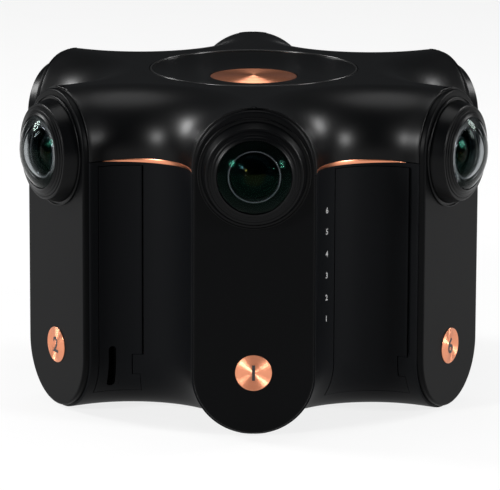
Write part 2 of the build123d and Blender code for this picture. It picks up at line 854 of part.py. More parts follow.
# Heat sink under the board, with its fins down towards the fan
with BuildPart() as heat_sink:
    with BuildSketch(Plane.XY.offset(board_height - sink_base)):
        Rectangle(sink_side, sink_side)
    extrude(amount=sink_base)
    fin_pitch = (sink_side - sink_fin_thickness) / (sink_fin_count - 1)
    with BuildSketch(Plane.XY.offset(board_height - sink_base)):
        with GridLocations(fin_pitch, 0, sink_fin_count, 1):
            Rectangle(sink_fin_thickness, sink_side)
    extrude(amount=-sink_fin_height)
save(heat_sink.part, "heat_sink")

# Fan: a square frame with a hub on four struts, and a bladed rotor on a thin shaft
with BuildPart() as fan_frame:
    with BuildSketch(Plane.XY.offset(fan_low)):
        RectangleRounded(fan_side, fan_side, fan_corner)
        Circle(fan_bore_radius, mode=Mode.SUBTRACT)
        with GridLocations(2 * fan_hole_place, 2 * fan_hole_place, 2, 2):
            Circle(fan_hole_radius, mode=Mode.SUBTRACT)
    extrude(amount=fan_thickness)
    with BuildSketch(Plane.XY.offset(fan_low)):
        Circle(fan_hub_radius)
        with PolarLocations(0, fan_strut_count // 2, start_angle=45, angular_range=180):
            Rectangle(2 * fan_bore_radius + fan_strut_width, fan_strut_width)
    extrude(amount=fan_strut_thickness)
    with BuildSketch(Plane.XY.offset(fan_low)):
        Circle(fan_bush_radius)
    extrude(amount=fan_strut_thickness + fan_bush_height)
    with BuildSketch(Plane.XY.offset(fan_low)):
        Circle(fan_shaft_radius + fan_shaft_fit)
    extrude(amount=fan_thickness, mode=Mode.SUBTRACT)
save(fan_frame.part, "fan_frame")

rotor_low = fan_low + fan_strut_thickness + rotor_gap
rotor_top = fan_low + fan_thickness - rotor_gap
rotor_height = rotor_top - rotor_low

with BuildPart() as fan_rotor:
    for index in range(rotor_blade_count):
        turn = index * 360 / rotor_blade_count
        root = Plane.XY.offset((rotor_low + rotor_top) / 2).rotated((0, 0, turn))
        with BuildSketch(Plane(root.origin, x_dir=root.y_dir, z_dir=root.x_dir)):
            Rectangle(
                rotor_height / math.cos(math.radians(rotor_blade_lean_angle)),
                rotor_blade_thickness,
                rotation=90 - rotor_blade_lean_angle,
            )
        extrude(amount=rotor_tip_radius)
    with BuildSketch(Plane.XY.offset(rotor_low)):
        Circle(rotor_tip_radius)
        Circle(rotor_cup_radius - rotor_cup_wall / 2, mode=Mode.SUBTRACT)
    extrude(amount=rotor_height, mode=Mode.INTERSECT)
    with BuildSketch(Plane.XY.offset(rotor_low)):
        Circle(rotor_cup_radius)
        Circle(rotor_cup_radius - rotor_cup_wall, mode=Mode.SUBTRACT)
    extrude(amount=rotor_height)
    with BuildSketch(Plane.XY.offset(rotor_top)):
        Circle(rotor_cup_radius)
    extrude(amount=-rotor_cup_wall)
    with BuildSketch(Plane.XY.offset(rotor_top)):
        Circle(fan_shaft_radius)
    extrude(amount=-(fan_thickness - 2 * rotor_gap))
save(fan_rotor.part, "fan_rotor")


def face_plate(azimuth):
    # Upright pill with a hole for the lens and a seat for the number disc
    front = Axis((0, 0, 0), outward(azimuth))
    with BuildPart() as plate:
        with BuildSketch(upright_plane(azimuth, arm_reach)):
            with Locations((0, (pill_top_centre + disc_height) / 2)):
                SlotCenterToCenter(pill_top_centre - disc_height, 2 * plate_half_width, rotation=90)
        extrude(amount=plate_thickness)
        chamfer(plate.faces().sort_by(front)[-1].edges(), plate_chamfer)
        with BuildSketch(upright_plane(azimuth, arm_reach)):
            with Locations((0, lens_height)):
                Circle(barrel_radius + snug_gap)
        extrude(amount=plate_thickness, mode=Mode.SUBTRACT)
        with BuildSketch(upright_plane(azimuth, plate_reach)):
            with Locations((0, disc_height)):
                Circle(disc_radius + snug_gap)
        extrude(amount=disc_proud - disc_thickness, mode=Mode.SUBTRACT)
    return plate.part


def number_disc(azimuth):
    front = Axis((0, 0, 0), outward(azimuth))
    with BuildPart() as disc:
        with BuildSketch(upright_plane(azimuth, plate_reach + disc_proud)):
            with Locations((0, disc_height)):
                Circle(disc_radius)
        extrude(amount=-disc_thickness)
        chamfer(disc.faces().sort_by(front)[-1].edges(), disc_chamfer)
    return disc.part


def lens_barrel(azimuth):
    # Turned barrel: tube through the arm, flange on the plate, flared bezel and nose
    seat_radius = glass_radius + lens_gap
    with BuildPart() as barrel:
        with BuildSketch(lens_plane(azimuth)):
            with BuildLine():
                Polyline(
                    (seat_radius, nose_reach),
                    (seat_radius, glass_seat),
                    (bore_radius, glass_seat),
                    (bore_radius, -barrel_back),
                    (barrel_radius, -barrel_back),
                    (barrel_radius, 0),
                    (flange_radius, 0),
                    (flange_radius, flange_thickness),
                )
                RadiusArc((flange_radius, flange_thickness), (bezel_radius, bezel_reach), -flare_round)
                RadiusArc((bezel_radius, bezel_reach), (seat_radius, nose_reach), -nose_round)
            make_face()
        revolve(axis=lens_axis(azimuth))
    return barrel.part


def front_glass(azimuth):
    # Domed front lens with a hollow back
    dome_round = (glass_radius**2 + glass_rise**2) / (2 * glass_rise)
    back = glass_seat + lens_gap
    hollow_rise = glass_edge + glass_rise - glass_thickness - back
    hollow_round = (glass_hollow_radius**2 + hollow_rise**2) / (2 * hollow_rise)
    with BuildPart() as glass:
        with BuildSketch(lens_plane(azimuth)):
            with BuildLine():
                RadiusArc((glass_radius, glass_edge), (0, glass_edge + glass_rise), -dome_round)
                Line((0, glass_edge + glass_rise), (0, back + hollow_rise))
                RadiusArc((0, back + hollow_rise), (glass_hollow_radius, back), hollow_round)
                Polyline((glass_hollow_radius, back), (glass_radius, back), (glass_radius, glass_edge))
            make_face()
        revolve(axis=lens_axis(azimuth))
    return glass.part


def lens_ring(azimuth):
    with BuildPart() as ring:
        with BuildSketch(lens_plane(azimuth)):
            with Locations((ring_inner_radius, ring_back)):
                Rectangle(bore_radius - snug_gap - ring_inner_radius, glass_seat - ring_back, align=Align.MIN)
        revolve(axis=lens_axis(azimuth))
    return ring.part


def inner_lens(azimuth):
    edge_radius = bore_radius - snug_gap
    rise_round = (ring_inner_radius**2 + inner_lens_rise**2) / (2 * inner_lens_rise)
    with BuildPart() as lens:
        with BuildSketch(lens_plane(azimuth)):
            with BuildLine():
                RadiusArc((ring_inner_radius, inner_lens_edge), (0, inner_lens_edge + inner_lens_rise), -rise_round)
                Polyline(
                    (0, inner_lens_edge + inner_lens_rise),
                    (0, -inner_lens_back),
                    (edge_radius, -inner_lens_back),
                    (edge_radius, inner_lens_edge),
                    (ring_inner_radius, inner_lens_edge),
                )
            make_face()
        revolve(axis=lens_axis(azimuth))
    return lens.part


def sensor_board(azimuth):
    with BuildPart() as board:
        with BuildSketch(upright_plane(azimuth, plate_reach - barrel_back)):
            with Locations((0, lens_height)):
                Rectangle(sensor_board_side, sensor_board_side)
        extrude(amount=-sensor_board_thickness)
        with BuildSketch(upright_plane(azimuth, plate_reach - barrel_back)):
            with Locations((0, lens_height)):
                Rectangle(sensor_side, sensor_side)
        extrude(amount=sensor_thickness)
    return board.part


for number, azimuth in enumerate(arm_azimuths, start=1):
    save(face_plate(azimuth), f"face_plate_{number}")
    save(number_disc(azimuth), f"number_disc_{number}")
    save(lens_barrel(azimuth), f"lens_barrel_{number}")
    save(front_glass(azimuth), f"front_glass_{number}")
    save(lens_ring(azimuth), f"lens_ring_{number}")

with BuildPart() as inner_lenses:
    for azimuth in arm_azimuths:
        add(inner_lens(azimuth))
save(inner_lenses.part, "inner_lenses")

with BuildPart() as sensor_boards:
    for azimuth in arm_azimuths:
        add(sensor_board(azimuth))
save(sensor_boards.part, "sensor_boards")
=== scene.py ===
import bpy
import json
import math
import numpy as np
from mathutils import Matrix, Vector


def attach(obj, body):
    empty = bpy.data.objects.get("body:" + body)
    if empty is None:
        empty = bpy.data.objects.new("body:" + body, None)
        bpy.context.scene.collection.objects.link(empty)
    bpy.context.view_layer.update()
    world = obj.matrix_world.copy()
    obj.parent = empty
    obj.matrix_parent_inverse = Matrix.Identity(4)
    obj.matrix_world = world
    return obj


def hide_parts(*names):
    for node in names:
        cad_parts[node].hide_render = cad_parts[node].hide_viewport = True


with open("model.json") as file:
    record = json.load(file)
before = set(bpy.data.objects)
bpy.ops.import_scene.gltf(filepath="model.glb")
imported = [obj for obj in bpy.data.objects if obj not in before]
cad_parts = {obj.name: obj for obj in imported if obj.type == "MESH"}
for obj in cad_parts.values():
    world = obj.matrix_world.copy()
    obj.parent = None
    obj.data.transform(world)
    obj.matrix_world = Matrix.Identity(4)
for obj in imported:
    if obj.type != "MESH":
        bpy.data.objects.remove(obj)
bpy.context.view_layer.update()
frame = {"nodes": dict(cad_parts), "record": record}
mm = 0.001
print("frame loaded:", len(frame["nodes"]), "nodes")

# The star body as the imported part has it. Lengths are in millimetres, and makeMesh turns them into metres
body = {
    "armHalfWidth": 21.0, "armReach": 76.5, "valleyRadius": 20.5, "valleyCentre": 83.0, "low": 0.4,
    "top": 112.6, "edgeRound": 20.4, "wall": 2.2, "seam": 89.7, "seamGap": 0.16,
    "endRound": 0.35,  # upright corners at the arms' ends
    "armFlat": 2.0,  # first stretch of an arm's side, whose inner sheet keeps its columns
    "dishRadius": 36.6, "floorRadius": 36.7,
}
arms = [0, -60, -120, 180, 120, 60]  # azimuth of lens 1 to 6, from -Y towards +X
valleys = [-30, 30, 90, 150, 210, 270]
roundLow = body["low"] + body["edgeRound"]
roundHigh = body["top"] - body["edgeRound"]
quarter = body["edgeRound"] * math.pi / 2
arcHalf = body["valleyRadius"] * math.pi / 3
tangent = body["valleyCentre"] * math.cos(math.radians(30))
sideFlat = body["armReach"] - tangent - body["endRound"]
sideEnd = arcHalf + sideFlat + body["endRound"] * math.pi / 2


def outward(azimuth):
    a = math.radians(azimuth)
    return np.array([math.sin(a), -math.cos(a), 0.0])


def sideways(azimuth):
    a = math.radians(azimuth)
    return np.array([math.cos(a), math.sin(a), 0.0])


upwards = np.array([0.0, 0.0, 1.0])


def wallPoints(valley, u, h, depth=0.0):
    # u runs along the wall from the middle of a valley, h up its profile, depth into the wall.
    # In plan: an arc of the valley radius, then the arm's flat side, then a small corner.
    # The profile is upright and turns over a quarter circle above and below:
    # inset = depth + r (1 - cos turn), height = end of the upright + r sin turn, r = edge round - depth.
    # An inner sheet gives up its depth along the last part of the arm's side
    u, h, depth = np.broadcast_arrays(*(np.asarray(v, float) for v in (u, h, depth)))
    r = body["edgeRound"] - depth
    turn = (np.clip(h - roundHigh, 0, None) - np.clip(roundLow - h, 0, None)) / body["edgeRound"]
    inset = depth + r * (1 - np.cos(turn))
    z = np.clip(h, roundLow, roundHigh) + r * np.sin(turn)
    side = np.where(u < 0, -1.0, 1.0)
    beyond = np.abs(u) - arcHalf
    phi = np.clip(np.abs(u), 0, arcHalf) / body["valleyRadius"]
    radius = body["valleyRadius"] + inset
    corner = body["endRound"]
    alpha = np.clip((beyond - sideFlat) / corner, 0, math.pi / 2)
    lead = np.clip(beyond, 0, sideFlat)
    late = np.clip((lead - body["armFlat"]) / (sideFlat - body["armFlat"]), 0, 1)
    along = tangent + lead - depth * late + corner * np.sin(alpha)
    lateral = body["armHalfWidth"] - inset - corner * (1 - np.cos(alpha))
    c, s = math.cos(math.radians(30)), math.sin(math.radians(30))
    onArc = beyond <= 0
    n = np.where(onArc, body["valleyCentre"] - radius * np.cos(phi), along * c + lateral * s)
    t = side * np.where(onArc, radius * np.sin(phi), along * s - lateral * c)
    return n[..., None] * outward(valley) + t[..., None] * sideways(valley) + z[..., None] * upwards


def turned(degrees):
    # The wall's u for a turn about a valley's centre
    return body["valleyRadius"] * math.radians(degrees)


def profilePlace(z):
    # The profile's own h for a height on its lower round
    return roundLow - body["edgeRound"] * math.asin((roundLow - z) / body["edgeRound"])


def gridFaces(rows, cols, wrapRows=False, wrapCols=False):
    r, c = np.meshgrid(np.arange(rows if wrapRows else rows - 1), np.arange(cols if wrapCols else cols - 1),
                       indexing="ij")
    r, c = r.ravel(), c.ravel()
    up, on = (r + 1) % rows, (c + 1) % cols
    return np.stack([r * cols + c, r * cols + on, up * cols + on, up * cols + c], 1)


def merged(points):
    # Indices that give points in one place, to a tenth of a micron, one number. The small shift keeps
    # round lengths off the rounding's own edges
    _, first, back = np.unique(np.round(points + 0.0000137, 4), axis=0,
                               return_index=True, return_inverse=True)
    return first, back.reshape(-1)


def closedWall(outer, inner, faces):
    # Both sheets, and a rim along every edge that only one face has
    outer, inner = outer.reshape(-1, 3), inner.reshape(-1, 3)
    first, back = merged(outer)
    faces, outer, inner = back[faces], outer[first], inner[first]
    count = len(outer)
    a, b = faces.ravel(), np.roll(faces, -1, axis=1).ravel()
    real = a != b
    a, b = a[real], b[real]
    bare = ~np.isin(a * count + b, b * count + a)
    a, b = a[bare], b[bare]
    rim = np.stack([b, a, a + count, b + count], 1)
    return np.concatenate([outer, inner]), np.concatenate([faces, faces[:, ::-1] + count, rim])


def makeMesh(name, points, faces, sharp):
    # Faces left with three corners become triangles, and all turn outwards
    first, back = merged(points)
    faces, points = back[faces], points[first]
    same = faces == np.roll(faces, -1, axis=1)
    quads = faces[same.sum(1) == 0]
    lost = faces[same.sum(1) == 1]
    start = same[same.sum(1) == 1].argmax(1)
    tris = np.take_along_axis(lost, (start[:, None] + np.array([1, 2, 3])) % 4, axis=1)
    fan = np.concatenate([tris, quads[:, [0, 1, 2]], quads[:, [0, 2, 3]]])
    a, b, c = points[fan[:, 0]], points[fan[:, 1]], points[fan[:, 2]]
    if np.einsum("ij,ij->i", a, np.cross(b, c)).sum() < 0:
        quads, tris = quads[:, ::-1], tris[:, ::-1]
    mesh = bpy.data.meshes.new(name)
    mesh.vertices.add(len(points))
    mesh.vertices.foreach_set("co", (points * mm).astype(np.float32).ravel())
    corners = np.concatenate([quads.ravel(), tris.ravel()])
    sizes = np.concatenate([np.full(len(quads), 4), np.full(len(tris), 3)])
    mesh.loops.add(len(corners))
    mesh.loops.foreach_set("vertex_index", corners.astype(np.int32))
    mesh.polygons.add(len(sizes))
    mesh.polygons.foreach_set("loop_start", (np.cumsum(sizes) - sizes).astype(np.int32))
    mesh.update(calc_edges=True)
    mesh.validate()
    mesh.shade_smooth()
    mesh.set_sharp_from_angle(angle=math.radians(sharp))
    return mesh


def placed(name, data):
    holder = bpy.data.objects.new(name, data)
    bpy.context.scene.collection.objects.link(holder)
    return holder


def addPiece(name, shape, slotName, replaced=(), bodyName="housing", finish=None, sharp=40, bevel=0):
    # A shape is its points and faces. Unless a finish is given, it is the slot's
    mesh = makeMesh(name, *shape, sharp)
    piece = placed(name, mesh)
    mesh.materials.append(finish or finishes[slotName])
    if bevel:
        rounding = piece.modifiers.new("rimRound", "BEVEL")
        rounding.width = bevel * mm
        rounding.segments = 2
        rounding.limit_method = "ANGLE"
        rounding.angle_limit = math.radians(50)
        rounding.use_clamp_overlap = False
        rounding.harden_normals = True
    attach(piece, bodyName)
    if replaced:
        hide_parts(*replaced)


def filled(marks, step):
    # The marks, with even steps between them
    marks = np.unique(np.round(marks, 5))
    spans = [np.linspace(a, b, max(2, math.ceil((b - a) / step - 0.001) + 1))
             for a, b in zip(marks[:-1], marks[1:])]
    return np.unique(np.round(np.concatenate(spans), 5))


near = 0.001  # two places this close on the wall are one


def coreOf(shape, points):
    # The nearest point of an oblong's middle line
    centre, reach = np.array(shape["centre"]), np.array(shape["reach"])
    return centre + np.clip(points - centre, -reach, reach)


def cutSheet(cols, rows, windows=(), shapes=()):
    # A grid over the wall's (u, h) without the windows' cells. Each shape is an oblong hole in its own
    # window: rings run from the window's edge to the outline, core + radius * (point - core) / distance
    u, h = np.meshgrid(cols, rows)
    points = [np.stack([u, h], -1).reshape(-1, 2)]
    faces = gridFaces(len(rows), len(cols))
    middle = points[0][faces].mean(1)
    gone = np.zeros(len(faces), bool)
    for u0, u1, h0, h1 in list(windows) + [shape["cell"] for shape in shapes]:
        gone |= (middle[:, 0] > u0) & (middle[:, 0] < u1) & (middle[:, 1] > h0) & (middle[:, 1] < h1)
    faces = [faces[~gone]]
    count = len(points[0])
    for shape in shapes:
        u0, u1, h0, h1 = shape["cell"]
        across = cols[(cols > u0 - near) & (cols < u1 + near)]
        up = rows[(rows > h0 - near) & (rows < h1 + near)]
        wide, tall = len(across), len(up)
        edge = np.stack([
            np.concatenate([across, np.full(tall - 1, u1), across[-2::-1], np.full(tall - 2, u0)]),
            np.concatenate([np.full(wide, h0), up[1:], np.full(wide - 1, h1), up[-2:0:-1]]),
        ], 1)
        core = coreOf(shape, edge)
        away = edge - core
        outline = core + shape["radius"] * away / np.linalg.norm(away, axis=1, keepdims=True)
        rings = [edge + (outline - edge) * share for share in (0, 0.5, 0.85, 1)]
        points.append(np.concatenate(rings))
        faces.append(gridFaces(len(rings), len(edge), wrapCols=True) + count)
        count += len(points[-1])
    return np.concatenate(points), np.concatenate(faces)


def revolved(azimuth, profile, segments, origin, closed=False):
    # Turns (radius, distance along the axis) pairs round a lens axis, or without azimuth round the upright
    angle = np.linspace(0, 2 * math.pi, segments, endpoint=False)
    if azimuth is None:
        axis, right, up = upwards, np.array([1.0, 0, 0]), np.array([0, 1.0, 0])
    else:
        axis, right, up = outward(azimuth), sideways(azimuth), upwards
    ring = np.cos(angle)[:, None] * right + np.sin(angle)[:, None] * up
    points = origin + profile[:, 0, None, None] * ring[None]
    points = (points + profile[:, 1, None, None] * axis).reshape(-1, 3)
    return points, gridFaces(len(profile), segments, wrapRows=closed, wrapCols=True)


def arcOf(centre, radius, startDegrees, endDegrees, count=8):
    a = np.radians(np.linspace(startDegrees, endDegrees, count))
    return np.stack([centre[0] + radius * np.cos(a), centre[1] + radius * np.sin(a)], 1)


# Materials: one class for wires, one for a material
class Wire:
    def __init__(self, finish, socket):
        self.finish = finish
        self.socket = socket

    def maths(self, operation, first, second):
        return self.finish.node("ShaderNodeMath", {"operation": operation}, {0: first, 1: second})

    def __add__(self, other):
        return self.maths("ADD", self, other)

    __radd__ = __add__

    def __sub__(self, other):
        return self.maths("SUBTRACT", self, other)

    def __rsub__(self, other):
        return self.maths("SUBTRACT", other, self)

    def __mul__(self, other):
        return self.maths("MULTIPLY", self, other)

    __rmul__ = __mul__


class Finish:
    def __init__(self, name):
        self.material = bpy.data.materials.new(name)
        self.material.use_nodes = True
        self.tree = self.material.node_tree
        self.tree.nodes.clear()

    def node(self, kind, settings, inputs, output=0):
        made = self.tree.nodes.new(kind)
        for key, value in settings.items():
            setattr(made, key, value)
        for key, value in inputs.items():
            if isinstance(value, Wire):
                self.tree.links.new(value.socket, made.inputs[key])
            else:
                made.inputs[key].default_value = value
        return Wire(self, made.outputs[output])

    def place(self):
        return self.node("ShaderNodeTexCoord", {}, {}, "Object")

    def noise(self, scale, detail):
        return self.node("ShaderNodeTexNoise", {}, {"Vector": self.place(), "Scale": scale,
                                                    "Detail": detail, "Roughness": 0.5}, "Fac")

    def blend(self, factor, first, second):
        return self.node("ShaderNodeMix", {"data_type": "RGBA"}, {0: factor, 6: first, 7: second}, 2)

    def bump(self, height, strength, distance):
        return self.node("ShaderNodeBump", {}, {"Strength": strength, "Distance": distance, "Height": height})

    def surface(self, out):
        self.tree.links.new(out.socket, self.tree.nodes.new("ShaderNodeOutputMaterial").inputs["Surface"])
        return self.material

    def shader(self, inputs):
        return self.surface(self.node("ShaderNodeBsdfPrincipled", {}, inputs))


def grey(value, tint=(1.0, 1.0, 1.0)):
    return (*(value * share for share in tint), 1.0)


def mouldedFinish(name, colours, gloss, grain, specular, tint=(1, 1, 1)):
    # Moulded or painted: slow drift between two greys, uneven gloss (roughness, its spread) and a fine
    # grain (scale, depth in mm) in the bump
    (dark, light), (rough, roughSpread), (grainScale, grainDepth) = colours, gloss, grain
    f = Finish(name)
    drift = f.noise(35.0, 2.0)
    grains = f.noise(grainScale, 2.0)
    colour = f.blend(drift, grey(dark, tint), grey(light, tint))
    return f.shader({"Base Color": colour, "Roughness": rough + roughSpread * (drift - 0.5),
                     "Specular IOR Level": specular, "Normal": f.bump(grains, 1.0, grainDepth * mm)})


def metalFinish(name, dark, light, rough, grainScale, grainDepth):
    # Slow drift between two colours, and a fine grain in gloss and bump
    f = Finish(name)
    drift = f.noise(160.0, 3.0)
    grain = f.noise(grainScale, 2.0)
    return f.shader({"Base Color": f.blend(drift, dark, light), "Metallic": 1.0,
                     "Roughness": rough + 0.08 * (grain - 0.5),
                     "Normal": f.bump(grain, 1.0, grainDepth * mm)})


def boardFinish():
    # Solder mask with copper runs showing through as lighter square cells
    f = Finish("solderMask")
    runs = f.node("ShaderNodeTexVoronoi", {"distance": "MANHATTAN", "feature": "F1"},
                  {"Vector": f.place(), "Scale": 520.0, "Randomness": 0.6}, "Distance")
    mask = runs.maths("GREATER_THAN", runs, 0.5)
    return f.shader({"Base Color": f.blend(mask, (0.006, 0.05, 0.024, 1), (0.012, 0.1, 0.05, 1)),
                     "Roughness": 0.32 + 0.1 * mask, "Normal": f.bump(mask, 0.5, 0.02 * mm)})


def domeFinish():
    # Coated glass: clear, with a teal gloss and a trace of dust in the roughness
    f = Finish("coatedGlass")
    dust = f.noise(2600.0, 4.0)
    return f.shader({"Base Color": (0.32, 0.34, 0.35, 1), "Transmission Weight": 1.0, "IOR": 1.14,
                     "Roughness": 0.08 + 0.02 * dust, "Specular Tint": (0.05, 0.5, 0.33, 1.0)})


# Per slot: name, dark and light grey, roughness and its spread, grain scale and depth, specular, tint
cool = (0.9, 0.98, 1.14)
moulded = {
    "cover_gloss": ("coverLacquer", (0.0012, 0.0018), (0.36, 0.04), (900, 0.003), 0.16, cool),
    "body_satin": ("bodySatin", (0.004, 0.0048), (0.48, 0.05), (3200, 0.01), 0.045, cool),
    "plate_satin": ("plateSatin", (0.0012, 0.0018), (0.4, 0.05), (3600, 0.006), 0.055, cool),
    "barrel_black": ("barrelBlack", (0.0012, 0.0018), (0.31, 0.04), (4200, 0.003), 0.1, cool),
    "button_black": ("buttonBlack", (0.006, 0.008), (0.4, 0.05), (3000, 0.01), 0.3, cool),
    "inner_plastic": ("innerPlastic", (0.02, 0.028), (0.5, 0.08), (2500, 0.02), 0.35),
    "card_plastic": ("cardPlastic", (0.012, 0.018), (0.35, 0.05), (3500, 0.01), 0.4),
    "foot_rubber": ("footRubber", (0.012, 0.02), (0.75, 0.08), (2600, 0.03), 0.2),
    "window_clear": ("windowSmoke", (0.02, 0.03), (0.12, 0.02), (500, 0.001), 0.5),
}
# Per slot: name, dark and light colour, roughness, grain scale and depth in mm
metals = {
    "frame_metal": ("darkAluminium", (0.035, 0.035, 0.04, 1), (0.055, 0.055, 0.06, 1), 0.45, 1800, 0.03),
    "socket_metal": ("platedSteel", (0.24, 0.24, 0.25, 1), (0.32, 0.32, 0.33, 1), 0.34, 1500, 0.006),
    "screw_steel": ("blackenedSteel", (0.08, 0.08, 0.085, 1), (0.14, 0.14, 0.15, 1), 0.35, 2400, 0.01),
    "ring_metal": ("brightRing", (0.5, 0.51, 0.52, 1), (0.62, 0.63, 0.64, 1), 0.2, 2600, 0.003),
    "copper": ("spunCopper", (0.76, 0.28, 0.155, 1), (0.84, 0.35, 0.2, 1), 0.32, 1700, 0.002),
}

finishes = {slot: mouldedFinish(*values) for slot, values in moulded.items()}
finishes["board_green"] = boardFinish()
finishes.update((slot, metalFinish(*values)) for slot, values in metals.items())
finishes["lens_glass"] = domeFinish()
print("materials ready:", len(finishes))

# Top cover: star ring from the joint up over the round, then flat in to the dish
cover = {"thickness": 2.0, "flatRows": 14, "bevel": 0.28, "columnStep": 0.62, "rowStep": 0.8}


def toCircle(line, radius, z, rows):
    # From a line of points straight in to a level circle round the body's axis
    spoke = line[:, :2] / np.linalg.norm(line[:, :2], axis=1, keepdims=True)
    goal = np.concatenate([spoke * radius, np.full((len(line), 1), z)], 1)
    share = np.linspace(0, 1, rows + 1)[1:, None, None]
    return line[None] + share * (goal - line)[None]


def sectorColumns(step):
    # Columns from one arm's end over a valley to the next: arc, flat side, corner
    corner = arcHalf + sideFlat + body["endRound"] * np.radians([30, 60, 90])
    half = np.concatenate([np.linspace(0, arcHalf, round(arcHalf / step) + 1),
                           arcHalf + sideFlat * np.array([0.35, 0.7, 1.0]), corner])
    return np.concatenate([-half[:0:-1], half])


def makeCover():
    cols = sectorColumns(cover["columnStep"])
    heights = filled([body["seam"] + body["seamGap"] / 2, roundHigh, roundHigh + quarter], cover["rowStep"])
    sheets = []
    for depth in (0.0, cover["thickness"]):
        wall = np.concatenate([wallPoints(valley, cols, heights[:, None], depth) for valley in valleys], 1)
        flat = toCircle(wall[-1], body["dishRadius"], body["top"] - depth, cover["flatRows"])
        sheets.append(np.concatenate([wall, flat]))
    shape = closedWall(*sheets, gridFaces(len(sheets[0]), len(sheets[0][0]), wrapCols=True))
    addPiece("topCoverShell", shape, "cover_gloss", ["top_cover"], bevel=cover["bevel"])


makeCover()
print("top cover made")

# Doors: sheets of the wall. Hinge line and free edge are turns in degrees; the left door's free edge lies
# past the valley's arc
doors = {
    "gap": 0.16, "knuckleGap": 0.07, "low": 8.0, "high": 87.9, "knuckleLow": 14.6, "knuckleHigh": 21.75,
    "knuckleReach": 2.4,
    "knuckleClear": 2.64,  # the door's cut edge passes the knuckle's outer corner as it swings
    "pastHinge": 0.98,  # how far the panel goes past its hinge line
    "edgeRound": 0.36,
    "housingEdge": 1.4,  # where the housing starts again past the hinge line
    "thickness": 2.0,
    "slantWidth": 3.0,  # width over which the inner side ends short of the free edge, by the slant
    "card": {"valley": 30, "hinge": 60, "free": -12.67, "slant": 1.5},
    "port": {"valley": -30, "hinge": -23, "pastArc": 1.08, "slant": 0.75},
    "tabDrop": 0.75,  # how far the inner side is lowered under the knuckle
    "columnStep": 0.8, "rowStep": 1.15,
}
doorLow, doorHigh = profilePlace(doors["low"]), doors["high"]
knuckleLow, knuckleHigh = profilePlace(doors["knuckleLow"]), doors["knuckleHigh"]
cardHinge, cardFree = turned(doors["card"]["hinge"]), turned(doors["card"]["free"])
portHinge = turned(doors["port"]["hinge"])
portFree = -(arcHalf + doors["port"]["pastArc"])


def doorWindow(hinge, free):
    # The door's opening in the wall, less the knuckle that stays with the housing
    gap, small, reach = doors["gap"], doors["knuckleGap"], doors["knuckleReach"]
    return [
        (free - gap, hinge - reach, doorLow - small, doorHigh + gap),
        (hinge - reach, hinge + doors["housingEdge"], knuckleHigh, doorHigh + gap),
        (hinge - reach, hinge + small, doorLow - small, knuckleLow),
    ]


def windowMarks(windows):
    return [w[i] for w in windows for i in (0, 1)], [w[i] for w in windows for i in (2, 3)]


# Lower housing: the wall below the joint, open for doors, sockets, buttons and slots
housing = {
    "bottomRows": 8, "columnStep": 1.1, "rowStep": 1.15, "bevel": 0.14,
    "holeMargin": 2.0,  # of a hole's window in the grid
    "slotValleys": (150, 210),
    "slots": {"count": 5, "pitch": 4.6, "radius": 1.0, "low": 34.0, "high": 78.0, "margin": 3.0},
    "socketValley": 270, "socket": {"high": 41.98, "width": 16.3, "tall": 13.9},
    "inlet": (64.0, 5.75),  # height and radius, here and of the buttons and the window
    "buttonValley": 90, "power": (61.98, 5.15), "mode": (46.02, 3.75), "window": (74.99, 1.65, 3.0),
}


def onArc(x):
    # Wall distance from the valley's middle for a sideways offset
    return body["valleyRadius"] * math.asin(x / body["valleyRadius"])


def oblong(left, right, centre, reach, radius, margin):
    # A hole between two columns: its window ends a margin above and below it
    half = reach[1] + radius + margin
    return {"cell": (left, right, centre[1] - half, centre[1] + half), "centre": centre, "reach": reach,
            "radius": radius}


def roundHole(height, radius, reach=0.0):
    side = onArc(radius + reach + housing["holeMargin"])
    return oblong(-side, side, (0.0, height), (reach, 0.0), radius, housing["holeMargin"])


def exhaustSlots():
    count, pitch, radius, low, high, margin = housing["slots"].values()
    for index in range(count):
        x = (index - (count - 1) / 2) * pitch
        yield oblong(onArc(x - pitch / 2), onArc(x + pitch / 2), (onArc(x), (low + high) / 2),
                     (0.0, (high - low) / 2 - radius), radius, margin)


def housingOpenings(valley):
    if valley == doors["card"]["valley"]:
        return doorWindow(cardHinge, cardFree), []
    if valley == doors["port"]["valley"]:
        return doorWindow(portHinge, portFree), []
    if valley == housing["buttonValley"]:
        return [], [roundHole(*housing[name]) for name in ("power", "mode", "window")]
    if valley == housing["socketValley"]:
        high, width, tall = housing["socket"].values()
        side = onArc(width / 2)
        return [(-side, side, high - tall / 2, high + tall / 2)], [roundHole(*housing["inlet"])]
    return [], list(exhaustSlots())


